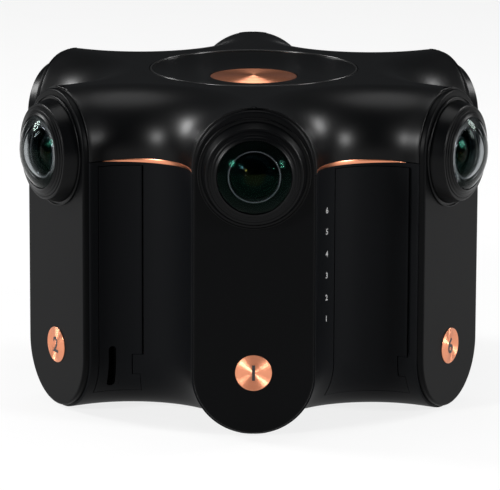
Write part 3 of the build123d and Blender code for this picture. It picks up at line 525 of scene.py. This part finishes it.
def makeHousing():
    plans = {valley: housingOpenings(valley) for valley in valleys}
    boxes = [box for windows, shapes in plans.values() for box in windows + [s["cell"] for s in shapes]]
    top = body["seam"] - body["seamGap"] / 2
    rows = filled([roundLow - quarter, roundLow, top] + windowMarks(boxes)[1], housing["rowStep"])
    bottom = housing["bottomRows"]
    sheets = {0.0: [], body["wall"]: []}
    faces, ends, total = [], [], 0
    for valley in valleys:
        windows, shapes = plans[valley]
        marks = windowMarks(windows + [s["cell"] for s in shapes])[0]
        cols = filled([-sideEnd, -arcHalf, arcHalf, sideEnd] + list(sectorColumns(30)) + marks,
                      housing["columnStep"])
        sheet, sheetFaces = cutSheet(cols, rows, windows, shapes)
        faces += [sheetFaces + total, gridFaces(bottom + 1, len(cols)) + total + len(sheet)]
        ends.append({})
        for depth, store in sheets.items():
            lowest = wallPoints(valley, cols, np.full_like(cols, rows[0]), depth)
            floor = toCircle(lowest, body["floorRadius"], body["low"] + depth, bottom)[::-1]
            store.append(wallPoints(valley, sheet[:, 0], sheet[:, 1], depth))
            store.append(np.concatenate([floor, lowest[None]]).reshape(-1, 3))
            ends[-1][depth] = floor[:, 0], floor[:, -1]
        total += len(sheet) + len(store[-1])
    # the arms' flat ends join each valley's last column to the next valley's first
    for index, valley in enumerate(valleys):
        following = (index + 1) % len(valleys)
        for depth, store in sheets.items():
            last = wallPoints(valley, np.full_like(rows, sideEnd), rows, depth)
            first = wallPoints(valleys[following], np.full_like(rows, -sideEnd), rows, depth)
            pair = np.stack([np.concatenate([ends[index][depth][1], last]),
                             np.concatenate([ends[following][depth][0], first])], 1)
            store.append(pair.reshape(-1, 3))
        faces.append(gridFaces(len(pair), 2) + total)
        total += 2 * len(pair)
    shape = closedWall(*(np.concatenate(store) for store in sheets.values()), np.concatenate(faces))
    addPiece("lowerHousingShell", shape, "body_satin", ["lower_housing"], bevel=housing["bevel"])


makeHousing()

# Dark gauze behind the exhaust slots
screen = {"halfWidth": 12.5, "low": 31.0, "high": 81.0, "gap": 0.1, "thickness": 0.4,
          "columns": 21, "rows": 11}


def makeDustScreens():
    cols = np.linspace(-screen["halfWidth"], screen["halfWidth"], screen["columns"])[None, :]
    rows = np.linspace(screen["low"], screen["high"], screen["rows"])[:, None]
    front = body["wall"] + screen["gap"]
    for valley in housing["slotValleys"]:
        sheets = [wallPoints(valley, cols, rows, depth) for depth in (front, front + screen["thickness"])]
        shape = closedWall(*sheets, gridFaces(screen["rows"], screen["columns"]))
        addPiece(f"dustScreen{valley}", shape, "inner_plastic", finish=finishes["button_black"])


makeDustScreens()
print("lower housing made")

# Finger notch in the left door. The rings are shares of its half width; those of the painted shade sheet
# inside it go deeper in turn
notch = {"fromHinge": 9.37, "low": 10.4, "high": 24.9, "radius": 1.3, "depth": 0.9, "margin": 1.2,
         "rings": (0.86, 0.45), "shadeRings": (0.97, 0.85, 0.44, 0.0),
         "shadeDepths": (0.05, 0.86, 0.87, 0.87), "shadeThickness": 0.3, "bowPoints": 13, "sidePoints": 9}


def makeDoor(name, node, plan, hinge, free, slotShape=None):
    # The hinge edge goes past the hinge line and is rounded on both sides of the wall
    past, edge, small, clear = (doors[k] for k in ("pastHinge", "edgeRound", "knuckleGap", "knuckleClear"))
    bend = np.radians([0, 30, 60, 90])
    marks = [free, hinge - clear, hinge]
    levels = [doorLow, knuckleLow - small, knuckleHigh + small, doorHigh]
    if slotShape:
        marks += list(slotShape["cell"][:2])
        levels += list(slotShape["cell"][2:])
    cols = np.concatenate([filled(marks, doors["columnStep"]), hinge + past - edge + edge * np.sin(bend)])
    rows = filled(levels + [roundLow], doors["rowStep"])
    windows = [
        (hinge - clear, hinge + past, knuckleLow - small, knuckleHigh + small),
        (hinge, hinge + past, doorLow, knuckleLow - small),
    ]
    sheet, faces = cutSheet(cols, rows, windows, [slotShape] if slotShape else [])
    beyond = np.clip((sheet[:, 0] - (hinge + past - edge)) / edge, 0, 1)
    depth = rounding = edge * (1 - np.sqrt(1 - beyond**2))
    if slotShape:
        core = coreOf(slotShape, sheet)
        onRim = np.abs(np.linalg.norm(sheet - core, axis=1) - slotShape["radius"]) < near
        rim, core = sheet[onRim], core[onRim]
        wallRing, floorRing = (core + (rim - core) * share for share in notch["rings"])
        count = len(rim)
        added = np.concatenate([rim, wallRing, floorRing, core])
        faces = np.concatenate([faces, gridFaces(4, count, wrapCols=True) + len(sheet)])
        sheet = np.concatenate([sheet, added])
        depth = np.concatenate([depth, np.zeros(count), np.full(3 * count, notch["depth"])])
        rounding = np.concatenate([rounding, np.zeros(4 * count)])
    outer = wallPoints(plan["valley"], sheet[:, 0], sheet[:, 1], depth)
    # the free edge is slanted, as it swings outwards past the housing's edge
    innerU = sheet[:, 0] + plan["slant"] * np.clip((free - sheet[:, 0]) / doors["slantWidth"] + 1, 0, 1)
    # under the knuckle the panel's end is level, so that it swings clear of it
    under = (sheet[:, 0] > hinge - clear - near) & (sheet[:, 1] < knuckleLow)
    drop = doors["tabDrop"] * np.clip((sheet[:, 1] - knuckleLow) / doors["slantWidth"] + 1, 0, 1)
    innerH = sheet[:, 1] - drop * under
    inner = wallPoints(plan["valley"], innerU, innerH, doors["thickness"] - rounding)
    addPiece(name, closedWall(outer, inner, faces), "body_satin", [node], node, bevel=housing["bevel"])


notchLow, notchHigh = profilePlace(notch["low"]), notch["high"]
notchPlace, notchSide = portHinge - notch["fromHinge"], notch["radius"] + notch["margin"]
notchShape = oblong(notchPlace - notchSide, notchPlace + notchSide, (notchPlace, (notchLow + notchHigh) / 2),
                    (0.0, (notchHigh - notchLow) / 2 - notch["radius"]), notch["radius"], notch["margin"])
makeDoor("cardDoorPanel", "card_door", doors["card"], cardHinge, cardFree)
makeDoor("portDoorPanel", "port_door", doors["port"], portHinge, portFree, notchShape)


def makeNotchLining():
    # A near-black sheet inside the notch, painted shade of the recess: nested oblongs from the notch's rim to
    # its floor, their straight sides divided to follow the wall
    bows, sides = notch["bowPoints"], notch["sidePoints"]
    bow, side = np.linspace(0, math.pi, bows), np.linspace(0.8, -0.8, sides)
    angle = np.concatenate([bow, np.full(sides, math.pi), bow + math.pi, np.zeros(sides)])
    lift = np.concatenate([np.ones(bows), side, -np.ones(bows), -side]) * notchShape["reach"][1]
    share = np.array(notch["shadeRings"])[:, None]
    depth = np.array(notch["shadeDepths"])[:, None]
    u = notchShape["centre"][0] + notch["radius"] * share * np.cos(angle)
    h = notchShape["centre"][1] + lift + notch["radius"] * share * np.sin(angle)
    sheets = [wallPoints(doors["port"]["valley"], u, h, d) for d in (depth, depth + notch["shadeThickness"])]
    shape = closedWall(*sheets, gridFaces(len(share), len(angle), wrapCols=True))
    # Near black and without gloss: painted shade in the notch
    darkSheet = mouldedFinish("notchPaintedShade", (0.0003, 0.0005), (0.8, 0.05), (3200, 0.004), 0.0)
    addPiece("notchPaintedShade", shape, "body_satin", bodyName="port_door", finish=darkSheet)


makeNotchLining()
print("doors made")

# Copper crescents on the joint: half height = tip + (rise - tip) * (1 - (u / end)^2),
# crown = proud * cos(turn) ^ flatness
trim = {"end": 20.9, "rise": 0.74, "tipRise": 0.08, "proud": 0.24, "flatness": 0.4, "base": 0.02, "sunk": 0.9,
        "columns": 96, "rows": 9}


def makeTrim():
    points, faces = [], []
    u = np.linspace(-trim["end"], trim["end"], trim["columns"])[None, :]
    v = np.linspace(-1, 1, trim["rows"])[:, None]
    half = trim["tipRise"] + (trim["rise"] - trim["tipRise"]) * (1 - (u / trim["end"]) ** 2)
    h = body["seam"] + half * np.sin(v * math.pi / 2)
    crown = trim["proud"] * np.cos(v * math.pi / 2) ** trim["flatness"] * np.ones_like(u)
    for valley in valleys:
        sheets = [wallPoints(valley, u, h, depth) for depth in (trim["base"] - crown, trim["sunk"])]
        wall, wallFaces = closedWall(*sheets, gridFaces(trim["rows"], trim["columns"]))
        faces.append(wallFaces + sum(len(p) for p in points))
        points.append(wall)
    shape = np.concatenate(points), np.concatenate(faces)
    addPiece("copperCrescents", shape, "copper", ["copper_trim"], sharp=50)


makeTrim()

# Dish in the top, with the big spun disc
dish = {
    "radius": 36.5, "lip": 0.8, "depth": 2.8, "seatDepth": 5.0, "floorRound": 72.0, "discRadius": 15.25,
    "discProud": 0.25, "discThick": 1.0, "seatGap": 0.12, "seatStep": 0.7,
    "disc": {"edge": 0.4, "pitch": 0.36, "slope": 0.62, "crown": 0.35, "lean": 0.2},
    "bowlDrop": 0.35, "bowlPoints": 40,  # the bowl starts this far under the top
    "lipRound": 0.34, "lipDrop": 0.02, "groove": ((0.4, 0.03), (0.36, 0.3), (0.12, 0.34)),
    "lineInset": 0.5, "lineRound": 0.26, "lineHigh": 0.06, "lineDeep": 0.6,  # light line inside the rim
}


def spunDisc(radius, thick, edge, pitch, slope, crown, lean=0.0):
    # Turned face: height = -a * (sin w + lean * sin 2w), w = 2 pi r / pitch, a = pitch * slope / (2 pi),
    # inside a bevelled edge and lying on a faint dome. A lean makes the grooves' outer sides steeper
    r = np.linspace(radius - edge, 0, round((radius - edge) / pitch) * 8)
    fade = np.clip((radius - edge - r) / pitch, 0, 1) * np.clip(r / pitch, 0, 1)
    wave = 2 * math.pi * r / pitch
    height = -fade * pitch * slope / (2 * math.pi) * (np.sin(wave) + lean * np.sin(2 * wave))
    height = height - crown * (r / radius) ** 2
    face = np.stack([r, height], 1)
    rim = arcOf((radius - edge, -edge - crown), edge, 0, 80, 6)
    return np.concatenate([[[0, -thick - crown], [radius, -thick - crown]], rim, face])


# Glossier than the lacquer and lighter in colour than it, the lighter colour a painted highlight, so that it
# shows as a light line
rimHighlightFinish = mouldedFinish("polishedRimHighlight", (0.006, 0.009), (0.24, 0.03), (900, 0.002), 0.5)


def makeDish():
    top, floor = body["top"], body["top"] - dish["depth"]
    rim = dish["radius"] - dish["lip"]
    # the bowl sags between its rim and the disc's seat: z = line from rim to seat - 4 sagitta t (1 - t),
    # with the sagitta of a chord of that length in a circle of the floor's round
    seat, start = dish["discRadius"] + dish["seatGap"], top - dish["bowlDrop"]
    span = math.hypot(rim - seat, start - floor)
    t = np.linspace(0, 1, dish["bowlPoints"])
    sagitta = dish["floorRound"] - math.sqrt(dish["floorRound"] ** 2 - (span / 2) ** 2)
    r = rim - t * (rim - seat)
    z = start - t * (start - floor) - 4 * sagitta * t * (1 - t)
    # the groove's corners lie out from the bowl's rim and down from the top
    groove = [[rim + out, top - down] for out, down in dish["groove"]]
    lip = dish["lipRound"]
    profile = np.concatenate([
        [[0, top - dish["seatDepth"]], [dish["radius"], top - dish["seatDepth"]]],
        arcOf((dish["radius"] - lip, top - lip - dish["lipDrop"]), lip, 0, 90, 7),
        groove,
        np.stack([r, z], 1),
        [[seat, floor - dish["seatStep"]], [0, floor - dish["seatStep"]]],
    ])
    shape = revolved(None, profile, 192, (0, 0, 0))
    addPiece("dishBowl", shape, "cover_gloss", ["dish_plate"], sharp=35)
    line, half, deep = dish["radius"] - dish["lineInset"], dish["lineRound"], top - dish["lineDeep"]
    profile = np.concatenate([arcOf((line, top - dish["lineHigh"]), half, 0, 180, 9),
                              [[line - half, deep], [line + half, deep]]])
    shape = revolved(None, profile, 192, (0, 0, 0), closed=True)
    addPiece("dishRimLine", shape, "cover_gloss", finish=rimHighlightFinish, sharp=35)
    disc = spunDisc(dish["discRadius"], dish["discThick"], **dish["disc"])
    shape = revolved(None, disc, 144, (0, 0, floor + dish["discProud"]))
    addPiece("topSpunDisc", shape, "copper", ["top_disc"], sharp=30)


makeDish()
print("trim and dish made")

# Face plates, lenses and number discs, one set per arm
plate = {
    "insets": (1.2, 4, 9, 14, 18), "backInset": 12.0,  # of the face's rings from its edge
    "halfWidth": 20.4, "thick": 2.1, "edge": 0.8, "reach": 78.6, "lowCentre": 21.45, "highCentre": 91.6,
    "discHigh": 22.2, "discRadius": 6.23, "discProud": 0.3, "discThick": 0.45,
    "disc": {"edge": 0.18, "pitch": 0.16, "slope": 0.75, "crown": 0.02},
    "figureProud": 0.03, "figureSize": 7.4, "figureBold": 0.14,
    "endPoints": 49,  # of each half circle
}
lens = {"height": 90.7, "segments": 160}


def makePlate(azimuth, number):
    # Nested pills: half width - inset, from the back edge over the round to the middle line
    beta = np.radians(np.linspace(0, 90, 6))
    edge, thick = plate["edge"], plate["thick"]
    middle, face = plate["halfWidth"], [*plate["insets"], plate["halfWidth"]]
    inset = np.concatenate([[middle, plate["backInset"], 0.0], edge * (1 - np.cos(beta)), face])
    rise = np.concatenate([[0, 0, 0], thick - edge + edge * np.sin(beta), np.full(len(face), thick)])
    angle = np.linspace(0, math.pi, plate["endPoints"])
    turn = np.concatenate([angle - math.pi, angle])
    centre = np.repeat([plate["lowCentre"], plate["highCentre"]], plate["endPoints"])
    half = (plate["halfWidth"] - inset)[:, None]
    x = half * np.cos(turn)[None]
    z = centre[None] + half * np.sin(turn)[None]
    out = body["armReach"] + rise[:, None] + 0 * x
    points = x[..., None] * sideways(azimuth) + z[..., None] * upwards + out[..., None] * outward(azimuth)
    shape = points.reshape(-1, 3), gridFaces(len(inset), len(turn), wrapCols=True)
    addPiece(f"facePlate{number}", shape, "plate_satin", [f"face_plate_{number}"], sharp=60)


def faceSpot(azimuth, height, proud=0.0):
    return outward(azimuth) * (plate["reach"] + proud) + upwards * height


def makeBarrel(azimuth, number):
    # Flange, groove, flared bezel, ringed nose and glass seat, as one closed profile
    flare = np.array([[17.8, 0.35], [17.68, 0.8], [17.36, 1.9], [17.01, 3.1], [16.66, 4.3], [16.42, 5.0]])
    profile = np.concatenate([
        [[12.9, -12.0], [14.6, -12.0], [14.6, 0.02], [19.04, 0.02]],
        arcOf((18.72, 0.4), 0.32, 0, 90, 7),
        arcOf((18.7, 0.62), 0.1, 90, 180, 4),
        [[18.6, 0.3]],
        flare,
        arcOf((16.14, 5.02), 0.2, 10, 80, 5),
        [[16.11, 5.226], [15.7, 5.28], [15.6, 5.3], [15.52, 5.2], [15.42, 5.22], [15.36, 5.5], [14.62, 5.66],
         [14.5, 5.92], [14.4, 5.98], [13.7, 6.14], [13.58, 6.38], [13.48, 6.44], [12.9, 6.6]],
        arcOf((12.72, 6.6), 0.16, 80, 180, 5),
        [[12.53, 5.26], [8.82, 5.2], [8.76, 5.1], [8.76, 2.0], [9.5, 1.9], [9.5, -11.0]],
    ])
    shape = revolved(azimuth, profile, lens["segments"], faceSpot(azimuth, lens["height"]), closed=True)
    addPiece(f"lensBarrel{number}", shape, "barrel_black", [f"lens_barrel_{number}"], sharp=32)


glass = {"edge": 12.43, "low": 6.6, "rise": 4.9, "hollow": 9.0, "back": 5.3, "hollowRise": 3.9}


def makeGlass(azimuth, number):
    # Meniscus: a dome over its edge, hollowed from behind. Sphere = (edge^2 + rise^2) / (2 rise)
    edge, low, rise, hollow, back, hollowRise = glass.values()
    sphere = (edge**2 + rise**2) / (2 * rise)
    inside = (hollow**2 + hollowRise**2) / (2 * hollowRise)
    r = edge * np.sin(np.linspace(0, math.pi / 2, 44))
    outer = np.stack([r[::-1], low + rise - sphere + np.sqrt(sphere**2 - r[::-1] ** 2)], 1)
    r = hollow * np.sin(np.linspace(0, math.pi / 2, 40))
    inner = np.stack([r, back + hollowRise - inside + np.sqrt(inside**2 - r**2)], 1)
    profile = np.concatenate([inner, [[edge, back]], outer])
    shape = revolved(azimuth, profile, lens["segments"], faceSpot(azimuth, lens["height"]))
    addPiece(f"frontGlass{number}", shape, "lens_glass", [f"front_glass_{number}"])


def makeRing(azimuth, number):
    # A thin tube with a rounded front edge
    profile = np.concatenate([
        [[8.72, 2.3]],
        arcOf((8.54, 5.08), 0.18, 0, 90, 5),
        arcOf((8.37, 5.1), 0.16, 90, 180, 5),
        [[8.21, 2.3]],
    ])
    shape = revolved(azimuth, profile, 128, faceSpot(azimuth, lens["height"]), closed=True)
    addPiece(f"lensRing{number}", shape, "ring_metal", [f"lens_ring_{number}"])


inner = {
    "radius": 8.16, "back": -1.0, "edgeHigh": 0.4, "outerSphere": 10.6, "centreRadius": 3.7,
    "centreSphere": 6.8, "centreStep": 0.25,
}


def makeInnerLens(azimuth, number):
    # Second group: an outer element and a steeper one in its middle. Height = sqrt(sphere^2 - r^2) + shift
    big, small = inner["outerSphere"], inner["centreSphere"]
    shift = inner["edgeHigh"] - math.sqrt(big**2 - inner["radius"] ** 2)
    r = np.linspace(inner["radius"], inner["centreRadius"] + 0.1, 26)
    ring = np.stack([r, shift + np.sqrt(big**2 - r**2)], 1)
    low = ring[-1, 1] + inner["centreStep"] - math.sqrt(small**2 - inner["centreRadius"] ** 2)
    r = np.linspace(inner["centreRadius"], 0, 24)
    cap = np.stack([r, low + np.sqrt(small**2 - r**2)], 1)
    seat, origin = ring[-1, 1] - 0.5, faceSpot(azimuth, lens["height"])
    outside = np.concatenate([[[0, inner["back"]], [inner["radius"], inner["back"]]], ring,
                              [[inner["centreRadius"] + 0.05, seat], [0, seat]]])
    shape = revolved(azimuth, outside, 96, origin)
    addPiece(f"innerLens{number}", shape, "lens_glass", ["inner_lenses"], finish=elementFinish)
    inside = np.concatenate([[[0, seat + 0.1], [inner["centreRadius"], seat + 0.1]], cap])
    shape = revolved(azimuth, inside, 96, origin)
    addPiece(f"centreLens{number}", shape, "lens_glass", finish=centreFinish)


def elementShade(name, dark, light, tint):
    f = Finish(name)
    drift = f.noise(700.0, 2.0)
    return f.shader({"Base Color": f.blend(drift, dark, light), "Roughness": 0.03 + 0.01 * drift,
                     "Specular IOR Level": 0.35, "Specular Tint": tint})


def addFigure(name, figure, size, bold, spread, finish):
    # A plain figure as a thin mesh. Spread lays its points, with their middle at 0, out on the part
    curve = bpy.data.curves.new("figureCurve", "FONT")
    curve.body = figure
    curve.size = size * mm
    curve.offset = bold * mm
    curve.extrude = 0.02 * mm
    text = placed("figureCurve", curve)
    bpy.context.view_layer.update()
    mesh = bpy.data.meshes.new_from_object(text.evaluated_get(bpy.context.evaluated_depsgraph_get()))
    bpy.data.objects.remove(text)
    flat = np.empty(3 * len(mesh.vertices), np.float32)
    mesh.vertices.foreach_get("co", flat)
    flat = flat.reshape(-1, 3) / mm
    points = spread(flat - (flat.min(0) + flat.max(0)) / 2)
    mesh.vertices.foreach_set("co", (points * mm).astype(np.float32).ravel())
    mesh.update()
    mesh.materials.append(finish)
    piece = placed(name, mesh)
    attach(piece, "housing")


def makeNumber(azimuth, number, finish):
    face = faceSpot(azimuth, plate["discHigh"], plate["discProud"] + plate["figureProud"])
    right, out = sideways(azimuth), outward(azimuth)

    def spread(flat):
        return face + flat[:, :1] * right + flat[:, 1:2] * upwards + flat[:, 2:] * out

    addFigure(f"discFigure{number}", str(number), plate["figureSize"], plate["figureBold"], spread, finish)


# Light figures beside the right door, top to bottom: heights, and the turn about the valley's centre
wallFigures = {"valley": 30, "turn": -24.6, "size": 2.8, "bold": 0.05, "proud": 0.02,
               "heights": (74.3, 66.9, 59.2, 51.7, 44.0, 36.6)}


def makeWallFigures(finish):
    valley, turn, size, bold, proud, heights = wallFigures.values()
    for number, high in zip(range(len(heights), 0, -1), heights):

        def spread(flat):
            return wallPoints(valley, turned(turn) + flat[:, 0], high + flat[:, 1], -proud - flat[:, 2])

        addFigure(f"wallFigure{number}", str(number), size, bold, spread, finish)


inkFinish = mouldedFinish("printedBlack", (0.02, 0.03), (0.45, 0.05), (3000, 0.004), 0.3)
elementFinish = elementShade("outerElement", (0.0012, 0.001, 0.001, 1), (0.002, 0.0018, 0.0017, 1),
                             (0.3, 0.65, 0.8, 1.0))
centreFinish = elementShade("centreElement", (0.0006, 0.0006, 0.0006, 1), (0.0012, 0.001, 0.001, 1),
                            (1.0, 0.85, 0.2, 1.0))
for number, azimuth in enumerate(arms, start=1):
    makePlate(azimuth, number)
    makeBarrel(azimuth, number)
    makeGlass(azimuth, number)
    makeRing(azimuth, number)
    makeInnerLens(azimuth, number)
    profile = spunDisc(plate["discRadius"], plate["discThick"], **plate["disc"])
    origin = faceSpot(azimuth, plate["discHigh"], plate["discProud"])
    shape = revolved(azimuth, profile, 96, origin)
    addPiece(f"spunNumberDisc{number}", shape, "copper", [f"number_disc_{number}"], sharp=30)
    makeNumber(azimuth, number, inkFinish)
makeWallFigures(mouldedFinish("printedGrey", (0.34, 0.4), (0.5, 0.05), (3000, 0.004), 0.3))
print("plates, lenses and discs made")

# Network socket: black lining and gilt contacts inside its metal shell
socket = {"face": 61.8, "inset": 0.25, "high": 41.98, "width": 11.9, "tall": 8.0, "deep": 13.4,
          "darkSheet": 0.35, "fit": 0.03, "contacts": 8, "contactPitch": 1.02, "contactWidth": 0.46,
          "contactThick": 0.48, "contactInset": 2.0, "contactLong": 9.0}


def makeBoxes(name, boxes, finish, slotName):
    # Boxes are pairs of lowest and highest corner
    sides = np.array([[0, 2, 3, 1], [4, 5, 7, 6], [0, 1, 5, 4], [2, 6, 7, 3], [0, 4, 6, 2], [1, 3, 7, 5]])
    turns = [(i, j, k) for k in (0, 1) for j in (0, 1) for i in (0, 1)]
    points = [[box[i][0], box[j][1], box[k][2]] for box in boxes for i, j, k in turns]
    faces = np.concatenate([sides + 8 * index for index in range(len(boxes))])
    addPiece(name, (np.array(points), faces), slotName, finish=finish)


def makeSocketInside():
    # Lining of the roof, both sides, the back and the floor beside the latch's slot, then the contacts
    half, low = socket["width"] / 2, socket["high"] - socket["tall"] / 2
    high, skin, edge = low + socket["tall"], socket["darkSheet"], socket["fit"]
    front, back = -socket["face"] + socket["inset"], -socket["face"] + socket["deep"]
    latch = socket["width"] / 4 + 0.02
    boxes = [
        ((front, -half + edge, high - skin), (back, half - edge, high - edge)),
        ((front, -half + edge, low + edge), (back, -half + skin, high - skin)),
        ((front, half - skin, low + edge), (back, half - edge, high - skin)),
        ((back - skin, -half + skin, low + edge), (back, half - skin, high - skin)),
        ((front, -half + skin, low + edge), (back, -latch, low + skin)),
        ((front, latch, low + edge), (back, half - skin, low + skin)),
    ]
    makeBoxes("socketLining", boxes, finishes["button_black"], "inner_plastic")
    gilt = metalFinish("gilt", (0.75, 0.52, 0.2, 1), (0.82, 0.6, 0.26, 1), 0.25, 2400, 0.002)
    start, under, w = front + socket["contactInset"], high - skin - 0.02, socket["contactWidth"] / 2
    end, thick, middle = start + socket["contactLong"], socket["contactThick"], (socket["contacts"] - 1) / 2
    places = [(index - middle) * socket["contactPitch"] for index in range(socket["contacts"])]
    strips = [((start, y - w, under - thick), (end, y + w, under)) for y in places]
    makeBoxes("socketContacts", strips, gilt, "socket_metal")


makeSocketInside()

# The CAD's own nodes keep their shapes and get their slot's finish, but for the door pins, which are near
# black and nearly without gloss, painted shade in the door seams
slotOf = {part["node"]: part["material_slot"] for part in frame["record"]["subparts"]}
# Door pins: near black, painted shade so that the seams they show through stay dark
pinShadeFinish = mouldedFinish("pinsPaintedShade", (0.0012, 0.002), (0.55, 0.05), (2400, 0.01), 0.03)
for name, node in frame["nodes"].items():
    node.data.materials.clear()
    node.data.materials.append(pinShadeFinish if name.endswith("door_pins") else finishes[slotOf[name]])
print("frame nodes finished")

# Camera: place in millimetres, turns in degrees, focal length in pixels of the image's width
camera = {
    "place": (-6.46, -1434.0, 366.87), "yaw": 0.216, "pitch": 12.502, "roll": 0.223,
    "focalPixels": 4148.84, "imageWide": 500, "sensor": 36.0, "farthest": 20,
}


def makeCamera():
    # Yaw, then pitch, then roll
    yaw, pitch, roll = (math.radians(camera[k]) for k in ("yaw", "pitch", "roll"))
    forward = Vector((math.sin(yaw) * math.cos(pitch), math.cos(yaw) * math.cos(pitch), -math.sin(pitch)))
    right = forward.cross(Vector((0, 0, 1))).normalized()
    up = right.cross(forward)
    right, up = right * math.cos(roll) + up * math.sin(roll), up * math.cos(roll) - right * math.sin(roll)
    data = bpy.data.cameras.new("camera")
    data.sensor_width = camera["sensor"]
    data.lens = camera["focalPixels"] * camera["sensor"] / camera["imageWide"]
    data.clip_end = camera["farthest"]
    holder = placed("camera", data)
    turn = Matrix((right, up, -forward)).transposed()
    holder.matrix_world = Matrix.Translation(Vector(camera["place"]) * mm) @ turn.to_4x4()
    bpy.context.scene.camera = holder


# Azimuth and elevation in degrees, distance and size in metres, power in watts
lamps = {
    "right": (60, 15, 1.1, 0.24, 9.0),
    "left": (-48, 18, 1.1, 0.24, 9.0),
    "farLeft": (-109, 26, 1.1, 0.3, 10.0),
    "farRight": (115, 26, 1.1, 0.3, 5.0),
    "above": (180, 80, 1.0, 0.7, 3.4),
}
lampAim = (0.0, 0.0, 0.09)


def makeLamps():
    for name, (azimuth, elevation, distance, size, power) in lamps.items():
        e = math.radians(elevation)
        away = Vector(outward(azimuth) * math.cos(e) + upwards * math.sin(e))
        data = bpy.data.lights.new(name, "AREA")
        data.shape = "DISK"
        data.size = size
        data.energy = power
        holder = placed(name, data)
        holder.location = Vector(lampAim) + away * distance
        holder.rotation_mode = "QUATERNION"
        holder.rotation_quaternion = away.to_track_quat("Z", "Y")


room = {"colour": (0.9, 0.95, 1.0, 1.0), "strength": 0.05}


def makeRoom():
    # Dim, as behind the part the white floor is seen
    world = bpy.data.worlds.new("studio")
    world.use_nodes = True
    background = world.node_tree.nodes["Background"].inputs
    background["Color"].default_value = room["colour"]
    background["Strength"].default_value = room["strength"]
    bpy.context.scene.world = world


ground = {"half": 4000.0, "whiteShare": 0.8}


def floorFinish():
    # Pale and matt, but nearly white to camera, gloss and glass
    f = Finish("paleFloor")
    path = f.tree.nodes.new("ShaderNodeLightPath")
    rays = [Wire(f, path.outputs[f"Is {kind} Ray"]) for kind in ("Camera", "Glossy", "Transmission")]
    seen = rays[0]
    for ray in rays[1:]:
        seen = seen.maths("MAXIMUM", seen, ray)
    speck = f.noise(60.0, 2.0)
    lit = f.node("ShaderNodeBsdfDiffuse", {}, {"Color": f.blend(speck, grey(0.8), grey(0.84))})
    white = f.node("ShaderNodeEmission", {}, {"Color": (1, 1, 1, 1), "Strength": 1.0})
    out = f.node("ShaderNodeMixShader", {}, {0: seen * ground["whiteShare"], 1: lit, 2: white})
    return f.surface(out)


def makeFloor():
    half = ground["half"] * mm
    points = [(x, y, 0) for x, y in ((-half, -half), (half, -half), (half, half), (-half, half))]
    mesh = bpy.data.meshes.new("floor")
    mesh.from_pydata(points, [], [[0, 1, 2, 3]])
    mesh.materials.append(floorFinish())
    floor = placed("floor", mesh)


makeCamera()
makeLamps()
makeRoom()
makeFloor()
bpy.context.scene.view_settings.view_transform = "Standard"
print("camera, lamps and floor ready")
